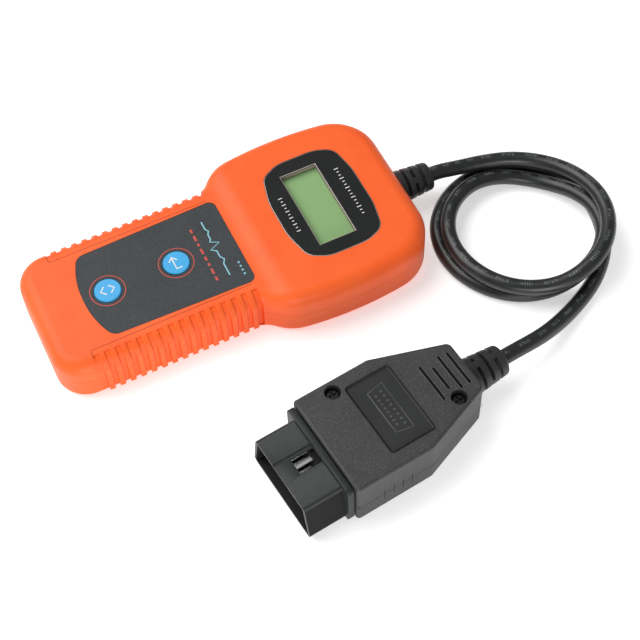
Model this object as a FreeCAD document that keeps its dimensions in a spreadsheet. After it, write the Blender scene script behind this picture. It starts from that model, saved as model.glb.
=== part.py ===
import FreeCAD, Part
import math
import os
import Sketcher
from FreeCAD import Placement, Rotation, Vector

# A hand-held code reader for a car's diagnostic socket: a waisted plastic handset with two keys and
# a two-line display, a loosely coiled cable, and a sixteen-way plug.  Millimetres.  The origin is the
# middle of the handset's underside, +X to its right, +Y towards the cable, +Z out of its face.

DIMENSIONS = [
    ("case_length", 160.0, "handset, foot to cable end"),
    ("case_thick", 23.0, "handset, underside to the face of its head"),
    ("case_wall", 2.2, "wall of both covers"),
    ("parting", 11.5, "height of the split between the covers, and of the cable's axis"),
    ("seam", 0.1, "gap that shows between the covers"),
    ("grip_half", 30.2, "half the width of the grip"),
    ("grip_face", 21.5, "height of the grip's face"),
    ("foot_corner", 13.0, "corner radius at the foot, seen from above"),
    ("neck_start", -1.0, "where the grip starts to widen"),
    ("neck_round", 12.0, "hollow radius of the neck"),
    ("neck_turn", 46.0, "degrees that the neck turns outwards"),
    ("shoulder_round", 20.0, "full radius of the shoulder"),
    ("side_turn", 8.0, "degrees that the head still widens past the shoulder"),
    ("side_round", 155.0, "radius of the head's bowed side"),
    ("head_corner", 20.0, "corner radius at the cable end"),
    ("face_round", 6.0, "round of the edge between the face and the sides"),
    ("under_round", 3.5, "round of the edge between the underside and the sides"),
    ("step_start", 7.5, "where the face starts to rise from the grip to the head"),
    ("step_run", 9.0, "length of that rise"),
    ("cavity_top", 19.3, "ceiling of the front cover"),
    ("cavity_round", 3.4, "round of the ceiling's edge"),
    ("rib_count", 15, "ribs on each side of the grip"),
    ("rib_pitch", 4.46, "spacing of the ribs"),
    ("rib_first", -61.7, "place of the rib nearest the foot"),
    ("rib_width", 2.4, "width of a rib"),
    ("rib_inner", 25.5, "where the ribs start on the face"),
    ("rib_side", 30.9, "half the width over the ribs"),
    ("rib_low", 1.6, "lower end of the ribs"),
    ("panel_sink", 0.5, "depth of the sunk panel that the ribs stand in"),
    ("panel_margin", 3.4, "panel beyond the middle of its end ribs"),
    ("film_low", 21.1, "underside of the keypad film"),
    ("film_thick", 0.3, "keypad film"),
    ("key_radius", 5.45, "key cap"),
    ("key_gap", 0.3, "gap round a key cap"),
    ("key_top", 21.95, "top of a key cap"),
    ("enter_place", -19.5, "middle of the enter key"),
    ("scroll_place", -48.95, "middle of the scroll key"),
    ("lens_thick", 1.0, "display bezel"),
    ("display_place", 43.3, "middle of the display"),
    ("view_width", 38.0, "width of the display's window"),
    ("view_height", 15.7, "height of the display's window"),
    ("frame_width", 47.0, "display's metal frame"),
    ("frame_height", 20.0, "display's metal frame"),
    ("frame_top", 20.6, "top of the display's metal frame"),
    ("display_board_width", 58.0, "display module's board"),
    ("display_board_height", 32.0, "display module's board"),
    ("display_board_top", 16.8, "top of the display module's board"),
    ("board_thick", 1.6, "both circuit boards"),
    ("board_width", 48.0, "main board"),
    ("board_length", 128.0, "main board"),
    ("board_top", 10.6, "top of the main board"),
    ("switch_size", 6.0, "side of a key switch"),
    ("switch_height", 3.4, "height of a key switch's base"),
    ("counterbore", 5.0, "depth of the screws' counterbores in the underside"),
    ("screw_head", 2.7, "radius of a case screw's head"),
    ("screw_shank", 1.3, "radius of a case screw's shank"),
    ("cable_radius", 3.2, "cable jacket"),
    ("boot_length", 15.0, "handset strain relief, outside the case"),
    ("plug_x", 101.9, "middle of the plug's front edge"),
    ("plug_y", -3.2, "middle of the plug's front edge"),
    ("plug_turn", 6.5, "degrees that the plug is turned from +Y"),
    ("plug_thick", 24.0, "plug shell"),
    ("plug_half", 22.5, "half the width of the plug shell"),
    ("plug_waist", 33.4, "where the plug shell starts to narrow"),
    ("plug_length", 64.0, "plug shell"),
    ("plug_tail_half", 11.6, "half the width of the plug shell at the cable"),
    ("plug_wall", 2.2, "wall of the plug shell"),
    ("plug_split", 9.5, "height of the split between the plug shells"),
    ("plug_edge", 1.2, "round of the plug shell's edges"),
    ("plug_axis", 12.0, "height of the plug's axis"),
    ("shroud_length", 19.4, "connector shroud, mouth to shell"),
    ("shroud_wall", 1.4, "wall of the connector shroud"),
    ("shroud_narrow", 17.2, "half the width of the shroud's narrow side"),
    ("shroud_wide", 20.2, "half the width of the shroud's wide side"),
    ("shroud_low", 2.2, "height of the shroud's wide side"),
    ("shroud_high", 21.2, "height of the shroud's narrow side"),
    ("pin_pitch", 4.0, "spacing of the contacts"),
    ("pin_rows", 8.0, "spacing of the two rows of contacts"),
    ("plug_boot_length", 17.0, "plug strain relief, outside the shell"),
    ("ring_x", 37.7, "middle of the coiled cable"),
    ("ring_y", 118.2, "middle of the coiled cable"),
    ("ring_outer", 38.2, "outer radius of the coiled cable"),
    ("ring_inner", 25.0, "inner radius of the coiled cable"),
    ("ring_height", 16.0, "height of the coiled cable"),
]

doc = FreeCAD.newDocument("code_reader")
sheet = doc.addObject("Spreadsheet::Sheet", "Dims")
for row, (alias, value, note) in enumerate(DIMENSIONS, 1):
    sheet.set("A%d" % row, note)
    sheet.set("B%d" % row, str(value))
    sheet.setAlias("B%d" % row, alias)
doc.recompute()

NODES = []


def size(alias):
    """The number in the sheet's cell of that name."""
    return float(sheet.get(alias))


def node(item, label):
    """Names a finished sub-part and lists it for export."""
    item.Label = label
    NODES.append(item)
    return item


def turned(angle_degrees, radius, centre=(0.0, 0.0)):
    """The point at an angle and a distance from a centre."""
    angle = math.radians(angle_degrees)
    return Vector(centre[0] + radius * math.cos(angle), centre[1] + radius * math.sin(angle), 0)


# ---------------------------------------------------------------- outlines


def arc_of(centre, radius, start, end):
    """An arc in the XY plane between two angles in degrees, counterclockwise."""
    circle = Part.Circle(Vector(centre[0], centre[1], 0), Vector(0, 0, 1), radius)
    return Part.ArcOfCircle(circle, math.radians(start), math.radians(end))


def rounded_loop(corners):
    """Lines and arcs round a closed polygon of (x, y, radius) corners."""
    joints = []
    count = len(corners)
    for index, (x, y, radius) in enumerate(corners):
        here = Vector(x, y, 0)
        before = Vector(corners[index - 1][0], corners[index - 1][1], 0)
        after = Vector(corners[(index + 1) % count][0], corners[(index + 1) % count][1], 0)
        back = (before - here).normalize()
        onward = (after - here).normalize()
        half = back.getAngle(onward) / 2
        reach = radius / math.tan(half)
        inward = (back + onward).normalize()
        middle = here + inward * (radius / math.sin(half) - radius)
        joints.append((here + back * reach, middle, here + onward * reach))
    pieces = []
    for index, (start, middle, end) in enumerate(joints):
        if (start - end).Length > 1e-6:
            pieces.append(Part.Arc(start, middle, end))
        following = joints[(index + 1) % count][0]
        if (end - following).Length > 1e-6:
            pieces.append(Part.LineSegment(end, following))
    return pieces


def mirrored(corners):
    """A list of right-hand corners followed by their mirror images, as a closed polygon."""
    return corners + [(-x, y, radius) for x, y, radius in reversed(corners)]


def case_outline(inset):
    """The handset seen from above, moved inwards by inset: lines and arcs, all tangent."""
    half_length = size("case_length") / 2
    grip = size("grip_half")
    foot = size("foot_corner")
    neck = size("neck_round")
    shoulder = size("shoulder_round")
    side = size("side_round")
    corner = size("head_corner")
    neck_turn = size("neck_turn")
    side_turn = size("side_turn")
    foot_centre = (grip - foot, foot - half_length)
    neck_centre = (grip + neck, size("neck_start"))
    shoulder_centre = turned(180 - neck_turn, neck + shoulder, neck_centre)
    side_centre = turned(180 - side_turn, side - shoulder, shoulder_centre)
    corner_y = half_length - corner
    rise = corner_y - side_centre.y
    corner_x = side_centre.x + math.sqrt((side - corner) ** 2 - rise ** 2)
    corner_turn = math.degrees(math.asin(rise / (side - corner)))
    corner_centre = (corner_x, corner_y)
    right = [
        Part.LineSegment(Vector(0, inset - half_length, 0), Vector(foot_centre[0], inset - half_length, 0)),
        arc_of(foot_centre, foot - inset, -90, 0),
        Part.LineSegment(Vector(grip - inset, foot_centre[1], 0), Vector(grip - inset, neck_centre[1], 0)),
        arc_of(neck_centre, neck + inset, 180 - neck_turn, 180),
        arc_of(shoulder_centre, shoulder - inset, -neck_turn, -side_turn),
        arc_of(side_centre, side - inset, -side_turn, corner_turn),
        arc_of(corner_centre, corner - inset, corner_turn, 90),
        Part.LineSegment(Vector(corner_x, half_length - inset, 0), Vector(0, half_length - inset, 0)),
    ]
    left = []
    for piece in right:
        other = piece.copy()
        other.mirror(Vector(0, 0, 0), Vector(0, 1, 0))
        left.append(other)
    return right + left


# ---------------------------------------------------------------- features


def free_sketch(name, pieces, height=None, plane="XY"):
    """A sketch of its own for the Part workbench's extrusions."""
    sketch = doc.addObject("Sketcher::SketchObject", name)
    for piece in pieces:
        sketch.addGeometry(piece, False)
    if plane == "YZ":
        sketch.Placement = Placement(Vector(), Rotation(Vector(1, 1, 1), 120))
    if plane == "XZ":
        sketch.Placement = Placement(Vector(), Rotation(Vector(1, 0, 0), 90))
    if height:
        sketch.setExpression("Placement.Base.z", height)
    return sketch


def extrude(name, pieces, length, height=None, plane="XY", back=None):
    """Extrudes an outline; length, height and back are expressions on the sheet."""
    sketch = free_sketch(name + "_sketch", pieces, height, plane)
    solid = doc.addObject("Part::Extrusion", name)
    solid.Base = sketch
    solid.DirMode = "Normal"
    solid.Solid = True
    solid.setExpression("LengthFwd", length)
    if back:
        solid.setExpression("LengthRev", back)
    return solid


def cylinder(name, radius, length, place, axis=Vector(0, 0, 1)):
    """A Part cylinder; radius and length are expressions, place is its lower end."""
    item = doc.addObject("Part::Cylinder", name)
    item.setExpression("Radius", radius)
    item.setExpression("Height", length)
    item.Placement = Placement(place, Rotation(Vector(0, 0, 1), axis))
    return item


def box(name, low, high):
    """A Part box between two corners."""
    item = doc.addObject("Part::Box", name)
    item.Length = high[0] - low[0]
    item.Width = high[1] - low[1]
    item.Height = high[2] - low[2]
    item.Placement = Placement(Vector(*low), Rotation())
    return item


def fuse(name, items):
    item = doc.addObject("Part::MultiFuse", name)
    item.Shapes = items
    return item


def cut(name, base, tool):
    item = doc.addObject("Part::Cut", name)
    item.Base = base
    item.Tool = tool
    return item


def rim_numbers(shape, keep):
    """Numbers of the edges that a side wall shares with a face above or below it."""
    numbers = []
    edges = shape.Edges
    for face in shape.Faces:
        low, high, left, right = face.ParameterRange
        normal = face.normalAt((low + high) / 2, (left + right) / 2)
        if abs(normal.z) > 0.01:
            continue
        for edge in face.Edges:
            levels = [vertex.Z for vertex in edge.Vertexes]
            middle = edge.valueAt((edge.FirstParameter + edge.LastParameter) / 2).z
            if not all(keep(level) for level in levels + [middle]):
                continue
            for number, other in enumerate(edges, 1):
                if edge.isSame(other) and number not in numbers:
                    numbers.append(number)
    return numbers


def round_rim(name, base, radius, keep):
    """Rounds the rim of an upright solid at the heights that keep accepts."""
    doc.recompute()
    item = doc.addObject("Part::Fillet", name)
    item.Base = base
    value = size(radius)
    item.Edges = [(number, value, value) for number in rim_numbers(base.Shape, keep)]
    return item


def new_body(label):
    body = doc.addObject("PartDesign::Body", label)
    return node(body, label)


def sketch_on(body, name, height=None, role="XY_Plane"):
    """A sketch on one of the body's own origin planes, lifted by an expression."""
    sketch = body.newObject("Sketcher::SketchObject", name)
    plane = [item for item in body.Origin.OriginFeatures if item.Role == role][0]
    sketch.AttachmentSupport = [(plane, "")]
    sketch.MapMode = "FlatFace"
    if height:
        sketch.setExpression("AttachmentOffset.Base.z", height)
    return sketch


def add_loop(sketch, pieces):
    for piece in pieces:
        sketch.addGeometry(piece, False)


def add_circle(sketch, centre, radius):
    """A circle whose radius is bound to the sheet."""
    number = sketch.addGeometry(Part.Circle(Vector(*centre, 0), Vector(0, 0, 1), 1.0), False)
    sketch.addConstraint(Sketcher.Constraint("DistanceX", -1, 1, number, 3, centre[0]))
    sketch.addConstraint(Sketcher.Constraint("DistanceY", -1, 1, number, 3, centre[1]))
    place = sketch.addConstraint(Sketcher.Constraint("Radius", number, 1.0))
    sketch.setExpression("Constraints[%d]" % place, radius)


def add_rectangle(sketch, width, height, centre=(0.0, 0.0), start=10.0):
    """A rectangle about a centre; its width and height are expressions on the sheet."""
    x, y = centre
    half = start / 2
    corners = [(x - half, y - half), (x + half, y - half), (x + half, y + half), (x - half, y + half)]
    first = sketch.GeometryCount
    for index, corner in enumerate(corners):
        onward = corners[(index + 1) % 4]
        sketch.addGeometry(Part.LineSegment(Vector(*corner, 0), Vector(*onward, 0)), False)
    middle = sketch.addGeometry(Part.Point(Vector(x, y, 0)), True)
    for index in range(4):
        here = first + index
        onward = first + (index + 1) % 4
        sketch.addConstraint(Sketcher.Constraint("Coincident", here, 2, onward, 1))
    for index, kind in enumerate(("Horizontal", "Vertical", "Horizontal", "Vertical")):
        sketch.addConstraint(Sketcher.Constraint(kind, first + index))
    sketch.addConstraint(Sketcher.Constraint("DistanceX", -1, 1, middle, 1, x))
    sketch.addConstraint(Sketcher.Constraint("DistanceY", -1, 1, middle, 1, y))
    sketch.addConstraint(Sketcher.Constraint("Symmetric", first, 1, first + 2, 1, middle, 1))
    place = sketch.addConstraint(Sketcher.Constraint("DistanceX", first, 1, first, 2, start))
    sketch.setExpression("Constraints[%d]" % place, width)
    place = sketch.addConstraint(Sketcher.Constraint("DistanceY", first + 1, 1, first + 1, 2, start))
    sketch.setExpression("Constraints[%d]" % place, height)


def pad(body, sketch, length):
    feature = body.newObject("PartDesign::Pad", sketch.Name + "_pad")
    feature.Profile = sketch
    feature.setExpression("Length", length)
    body.Tip = feature
    return feature


def pocket(body, sketch, depth):
    """Cuts downwards from a sketch that lies on the upper side."""
    feature = body.newObject("PartDesign::Pocket", sketch.Name + "_pocket")
    feature.Profile = sketch
    feature.setExpression("Length", depth)
    body.Tip = feature
    return feature


def plate(label, width, height, thick, low, centre=(0.0, 0.0)):
    """A rectangular block as a body of its own, all sizes bound to the sheet."""
    body = new_body(label)
    sketch = sketch_on(body, label + "_outline", low)
    add_rectangle(sketch, width, height, centre)
    pad(body, sketch, thick)
    return body


def revolve(label, profile, place, rotation=Rotation()):
    """A body turned about its own Z axis from a closed profile of (radius, height) points."""
    body = new_body(label)
    sketch = sketch_on(body, label + "_profile", None, "XZ_Plane")
    count = len(profile)
    for index, point in enumerate(profile):
        onward = profile[(index + 1) % count]
        sketch.addGeometry(Part.LineSegment(Vector(*point, 0), Vector(*onward, 0)), False)
    feature = body.newObject("PartDesign::Revolution", label + "_turn")
    feature.Profile = sketch
    feature.ReferenceAxis = (sketch, ["V_Axis"])
    feature.Angle = 360
    body.Tip = feature
    body.Placement = Placement(place, rotation)
    return body


def group(label, solids):
    """Several like solids as one sub-part."""
    item = doc.addObject("Part::Feature", label)
    item.Shape = Part.makeCompound(solids)
    return node(item, label)


# ---------------------------------------------------------------- handset case

HEAD_SCREW_X = 30.0
HEAD_SCREW_Y = 64.5
FOOT_SCREW_X = 21.0
FOOT_SCREW_Y = -69.5
CASE_SCREWS = [
    (-FOOT_SCREW_X, FOOT_SCREW_Y),
    (FOOT_SCREW_X, FOOT_SCREW_Y),
    (-HEAD_SCREW_X, HEAD_SCREW_Y),
    (HEAD_SCREW_X, HEAD_SCREW_Y),
]
BOARD_SCREWS = [(-20.5, -56.0), (20.5, -56.0), (-20.5, 18.0), (20.5, 18.0)]
KEYS = [("enter", size("enter_place")), ("scroll", size("scroll_place"))]

BOOT_FLANGE = 6.6
BOOT_WAIST = 5.0

# Right-hand corners of the keypad film: x, y, radius, from the bowed lower edge upwards.
FILM_CORNERS = [(9.0, -59.3, 40.0), (20.6, -54.6, 5.0), (22.0, 6.0, 3.2)]
# Right-hand corners of the display bezel, from its bowed lower edge upwards.
LENS_CORNERS = [
    (9.0, 25.5, 30.0),
    (21.8, 28.6, 7.0),
    (25.9, 36.5, 14.0),
    (25.9, 53.5, 14.0),
    (22.6, 61.6, 7.0),
    (10.0, 64.0, 30.0),
]


def grown(corners, gap):
    """Corners moved outwards from the middle of their box by gap, for a recess."""
    xs = [x for x, y, radius in corners]
    ys = [y for x, y, radius in corners]
    half_x = max(xs)
    low_y, high_y = min(ys), max(ys)
    middle_y = (low_y + high_y) / 2
    scale_x = 1 + gap / half_x
    scale_y = 1 + 2 * gap / (high_y - low_y)
    return [(x * scale_x, middle_y + (y - middle_y) * scale_y, radius) for x, y, radius in corners]


def face_step():
    """The solid above the grip's face: it drops the face from the head to the grip in an S curve."""
    low = size("grip_face")
    high = size("case_thick")
    start = size("step_start")
    run = size("step_run")
    middle = Vector(start + run / 2, (low + high) / 2, 0)
    radius = ((run / 2) ** 2 + ((high - low) / 2) ** 2) / (high - low)
    swing = math.asin(run / 2 / radius)
    foot = Vector(start, low, 0)
    head = Vector(start + run, high, 0)
    lower = Vector(start + radius * math.sin(swing / 2), low + radius * (1 - math.cos(swing / 2)), 0)
    upper = Vector(head.x - (lower.x - foot.x), head.y - (lower.y - foot.y), 0)
    far = -size("case_length")
    above = high + 5
    pieces = [
        Part.LineSegment(Vector(far, low, 0), foot),
        Part.Arc(foot, lower, middle),
        Part.Arc(middle, upper, head),
        Part.LineSegment(head, Vector(head.x, above, 0)),
        Part.LineSegment(Vector(head.x, above, 0), Vector(far, above, 0)),
        Part.LineSegment(Vector(far, above, 0), Vector(far, low, 0)),
    ]
    return extrude("face_step", pieces, "Dims.case_length", plane="YZ", back="Dims.case_length")


def side_profile(outer_x, arc_centre, arc_radius, reach):
    """Closed section of a strip that runs from the face, over its round edge and down one side."""
    inner = size("rib_inner")
    low = size("rib_low")
    centre_x, centre_z = arc_centre
    crest = centre_z + math.sqrt(arc_radius ** 2 - (inner - centre_x) ** 2)
    start_turn = math.degrees(math.atan2(crest - centre_z, inner - centre_x))
    middle = turned(start_turn / 2, arc_radius, arc_centre)
    start = Vector(inner, crest, 0)
    end = Vector(outer_x, centre_z, 0)
    foot = Vector(outer_x, low, 0)
    return start, middle, end, foot, Vector(reach, low, 0)


def panel_sink():
    """The sunk panels on both sides of the grip, as the solid to take away."""
    radius = size("face_round") - size("panel_sink")
    centre = (size("grip_half") - size("face_round"), size("grip_face") - size("face_round"))
    outer_x = size("grip_half") - size("panel_sink")
    reach = size("grip_half") + 3
    start, middle, end, foot, corner = side_profile(outer_x, centre, radius, reach)
    above = Vector(start.x, size("grip_face") + 2, 0)
    beyond = Vector(reach, above.y, 0)
    points = [foot, corner, beyond, above, start]
    edges = [Part.makeLine(points[index], points[index + 1]) for index in range(4)]
    edges.append(Part.Arc(start, middle, end).toShape())
    edges.append(Part.makeLine(end, foot))
    low = size("rib_first") - size("panel_margin")
    span = (size("rib_count") - 1) * size("rib_pitch") + 2 * size("panel_margin")
    return both_sides(edges, low, span, 0.0)


def rib_solids():
    """Every rib on both sides, as full-height strips with rounded long edges."""
    outer_x = size("rib_side")
    inner = size("rib_inner")
    face = size("grip_face") - 0.1
    level = face - 6.4
    radius = ((outer_x - inner) ** 2 + (face - level) ** 2) / (2 * (outer_x - inner))
    start, middle, end, foot, _ = side_profile(outer_x, (outer_x - radius, level), radius, outer_x)
    inside = size("grip_half") - 1.2
    heel = Vector(inside, foot.y, 0)
    back = Vector(inside, level, 0)
    notch = Vector(inner, start.y - 1.4, 0)
    edges = [
        Part.Arc(start, middle, end).toShape(),
        Part.makeLine(end, foot),
        Part.makeLine(foot, heel),
        Part.makeLine(heel, back),
        Part.makeLine(back, notch),
        Part.makeLine(notch, start),
    ]
    width = size("rib_width")
    solids = []
    for index in range(int(size("rib_count"))):
        low = size("rib_first") + index * size("rib_pitch") - width / 2
        solids += both_sides(edges, low, width, 0.5)
    return solids


def both_sides(edges, low, span, rounding):
    """Extrudes a section drawn in (x, z) along Y, rounds its outer long edges and mirrors it."""
    face = Part.Face(Part.Wire(Part.__sortEdges__(edges)))
    face.rotate(Vector(), Vector(1, 0, 0), 90)
    face.translate(Vector(0, low, 0))
    solid = face.extrude(Vector(0, span, 0))
    if rounding:
        ends = (low, low + span)
        picked = []
        for edge in solid.Edges:
            middle = edge.CenterOfMass
            on_end = min(abs(middle.y - end) for end in ends) < 1e-6
            outside = middle.x > size("grip_half") + 0.2 or (middle.z > size("grip_face") - 3 and
                                                            edge.Curve.TypeId == "Part::GeomCircle")
            if on_end and outside and edge.Length > span:
                picked.append(edge)
        solid = solid.makeFillet(rounding, picked)
    return [solid, solid.mirror(Vector(), Vector(1, 0, 0))]


def feature_of(name, solids):
    item = doc.addObject("Part::Feature", name)
    item.Shape = Part.makeCompound(solids)
    return item


def posts(name, places, radius, low, high):
    """Upright posts as one fused tool."""
    items = []
    for index, (x, y) in enumerate(places):
        item = cylinder("%s_%d" % (name, index), radius, "(%s) - (%s)" % (high, low), Vector(x, y, 0))
        item.setExpression("Placement.Base.z", low)
        items.append(item)
    return fuse(name, items)


def cable_hole(name):
    """The hole through the end wall that the strain relief's waist sits in."""
    start = Vector(0, size("case_length") / 2 - 5, size("parting"))
    item = cylinder(name, "%g" % BOOT_WAIST, "10", start, Vector(0, 1, 0))
    item.setExpression("Placement.Base.z", "Dims.parting")
    return item


def front_cover():
    lift = "Dims.case_thick - Dims.parting"
    blank = extrude("front_blank", case_outline(0), lift, "Dims.parting")
    stepped = cut("front_stepped", blank, face_step())
    rounded = round_rim("front_rounded", stepped, "face_round", lambda level: level > size("grip_face") - 0.01)
    hollow = extrude("front_hollow", case_outline(size("case_wall")), "Dims.cavity_top - Dims.parting",
                     "Dims.parting")
    soft_hollow = round_rim("front_soft_hollow", hollow, "cavity_round",
                            lambda level: level > size("cavity_top") - 0.01)
    shell = cut("front_shell", rounded, soft_hollow)
    bosses = posts("front_bosses", CASE_SCREWS, "3.2", "Dims.parting - Dims.seam", "Dims.cavity_top + 0.6")
    ribs = feature_of("front_rib_strips", rib_solids())
    rib_half = doc.addObject("Part::Common", "front_ribs")
    rib_half.Base = ribs
    reach = size("case_length")
    rib_half.Tool = box("front_half_space", (-reach, -reach, size("parting")), (reach, reach, reach))
    sunk = cut("front_sunk", shell, feature_of("front_panels", panel_sink()))
    whole = fuse("front_whole", [sunk, bosses, rib_half])
    film = extrude("film_recess", rounded_loop(mirrored(grown(FILM_CORNERS, 0.12))), "5", "Dims.film_low")
    lens = extrude("lens_recess", rounded_loop(mirrored(grown(LENS_CORNERS, 0.12))), "5",
                   "Dims.case_thick - Dims.lens_thick")
    half_x = size("frame_width") / 2 + 0.2
    half_y = size("frame_height") / 2 + 0.2
    middle = size("display_place")
    window = box("display_opening", (-half_x, middle - half_y, 0), (half_x, middle + half_y, 40))
    seat_end = size("case_length") / 2 - size("case_wall")
    seat_half = BOOT_FLANGE + 0.3
    seat = box("boot_seat", (-seat_half, seat_end - 4, size("parting")),
               (seat_half, seat_end, size("parting") + seat_half))
    tools = [film, lens, window, seat, cable_hole("front_cable_hole")]
    for name, place in KEYS:
        tools.append(cylinder(name + "_hole", "Dims.key_radius + Dims.key_gap", "40", Vector(0, place, 0)))
    tools.append(posts("front_pilots", CASE_SCREWS, "Dims.screw_shank", "Dims.parting - 1", "Dims.cavity_top - 0.3"))
    node(cut("front_cover_solid", whole, fuse("front_tools", tools)), "front_cover")


def rear_cover():
    blank = extrude("rear_blank", case_outline(0), "Dims.parting - Dims.seam")
    rounded = round_rim("rear_rounded", blank, "under_round", lambda level: level < 0.01)
    hollow = extrude("rear_hollow", case_outline(size("case_wall")), "Dims.case_thick", "Dims.case_wall")
    sunk = cut("rear_sunk", rounded, feature_of("rear_panels", panel_sink()))
    shell = cut("rear_shell", sunk, hollow)
    ribs = feature_of("rear_rib_strips", rib_solids())
    rib_half = doc.addObject("Part::Common", "rear_ribs")
    rib_half.Base = ribs
    reach = size("case_length")
    level = size("parting") - size("seam")
    rib_half.Tool = box("rear_half_space", (-reach, -reach, -reach), (reach, reach, level))
    columns = posts("rear_columns", CASE_SCREWS, "4.1", "Dims.case_wall - 0.6", "Dims.parting - Dims.seam")
    rests = posts("board_rests", BOARD_SCREWS, "2.6", "Dims.case_wall - 0.6", "Dims.board_top - Dims.board_thick")
    whole = fuse("rear_whole", [shell, rib_half, columns, rests])
    tools = [
        posts("rear_clearances", CASE_SCREWS, "Dims.screw_shank + 0.2", "0 - 1", "Dims.case_thick"),
        posts("rear_counterbores", CASE_SCREWS, "Dims.screw_head + 0.3", "0 - 1", "Dims.counterbore"),
        posts("board_pilots", BOARD_SCREWS, "0.9", "Dims.case_wall + 1.6", "Dims.case_thick"),
        cable_hole("rear_cable_hole"),
    ]
    node(cut("rear_cover_solid", whole, fuse("rear_tools", tools)), "rear_cover")


# ---------------------------------------------------------------- screws


def screw_shape(head_radius, head_height, shank_radius, shank_length):
    """A pan head screw, head up, its head's underside at the origin, with a crossed recess."""
    head = Part.makeCylinder(head_radius, head_height)
    crown = [edge for edge in head.Edges if edge.CenterOfMass.z > head_height - 0.01 and edge.Length > head_radius * 6]
    head = head.makeFillet(head_height * 0.45, crown)
    shank = Part.makeCylinder(shank_radius, shank_length, Vector(0, 0, -shank_length))
    tip = [edge for edge in shank.Edges if edge.CenterOfMass.z < 0.01 - shank_length and edge.Closed]
    shank = shank.makeChamfer(shank_radius * 0.5, tip)
    width = head_radius * 0.24
    reach = head_radius * 0.62
    depth = head_height * 0.55
    bar = Part.makeBox(2 * reach, width, depth + 1, Vector(-reach, -width / 2, head_height - depth))
    other = Part.makeBox(width, 2 * reach, depth + 1, Vector(-width / 2, -reach, head_height - depth))
    return head.fuse(shank).cut(bar.fuse(other)).removeSplitter()


def screw_group(label, places, shape, flip=False):
    """Copies of one screw; flip turns the heads downwards."""
    solids = []
    for x, y, z in places:
        copy = shape.copy()
        if flip:
            copy.rotate(Vector(), Vector(1, 0, 0), 180)
        copy.translate(Vector(x, y, z))
        solids.append(copy)
    return group(label, solids)


def case_screws():
    counterbore = size("counterbore")
    shank = size("cavity_top") - counterbore - 1.2
    shape = screw_shape(size("screw_head"), 2.0, size("screw_shank"), shank)
    screw_group("case_screws", [(x, y, counterbore) for x, y in CASE_SCREWS], shape, flip=True)


def board_screws():
    shape = screw_shape(1.9, 1.4, 0.9, 5.5)
    screw_group("board_screws", [(x, y, size("board_top")) for x, y in BOARD_SCREWS], shape)


# ---------------------------------------------------------------- keypad


def keypad_film():
    body = new_body("keypad_film")
    outline = sketch_on(body, "film_outline", "Dims.film_low")
    add_loop(outline, rounded_loop(mirrored(FILM_CORNERS)))
    for _, place in KEYS:
        add_circle(outline, (0.0, place), "Dims.key_radius + Dims.key_gap")
    pad(body, outline, "Dims.film_thick")


def key_parts(name, place):
    """A key: its cap, and the switch's base and stem under it."""
    radius = size("key_radius")
    flange = 7.2
    stem = 2.1
    top = size("key_top")
    ceiling = size("cavity_top")
    contact = size("board_top") + size("switch_height") + 1.2
    dome = 0.35
    profile = [
        (0.0, contact), (stem, contact), (stem, ceiling - 1.6), (flange, ceiling - 1.6),
        (flange, ceiling - 0.4), (radius, ceiling - 0.4), (radius, top - dome),
        (radius - dome, top), (0.0, top),
    ]
    revolve(name + "_button", profile, Vector(0, place, 0))
    base = new_body(name + "_switch_base")
    outline = sketch_on(base, name + "_switch_outline", "Dims.board_top")
    add_rectangle(outline, "Dims.switch_size", "Dims.switch_size", (0.0, place), 6.0)
    pad(base, outline, "Dims.switch_height")
    bore = sketch_on(base, name + "_switch_bore", "Dims.board_top + Dims.switch_height")
    add_circle(bore, (0.0, place), "1.85")
    pocket(base, bore, "1.6")
    low = size("board_top") + size("switch_height") - 0.9
    revolve(name + "_switch_stem", [(0.0, low), (1.7, low), (1.7, contact), (0.0, contact)], Vector(0, place, 0))


# ---------------------------------------------------------------- display


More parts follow.
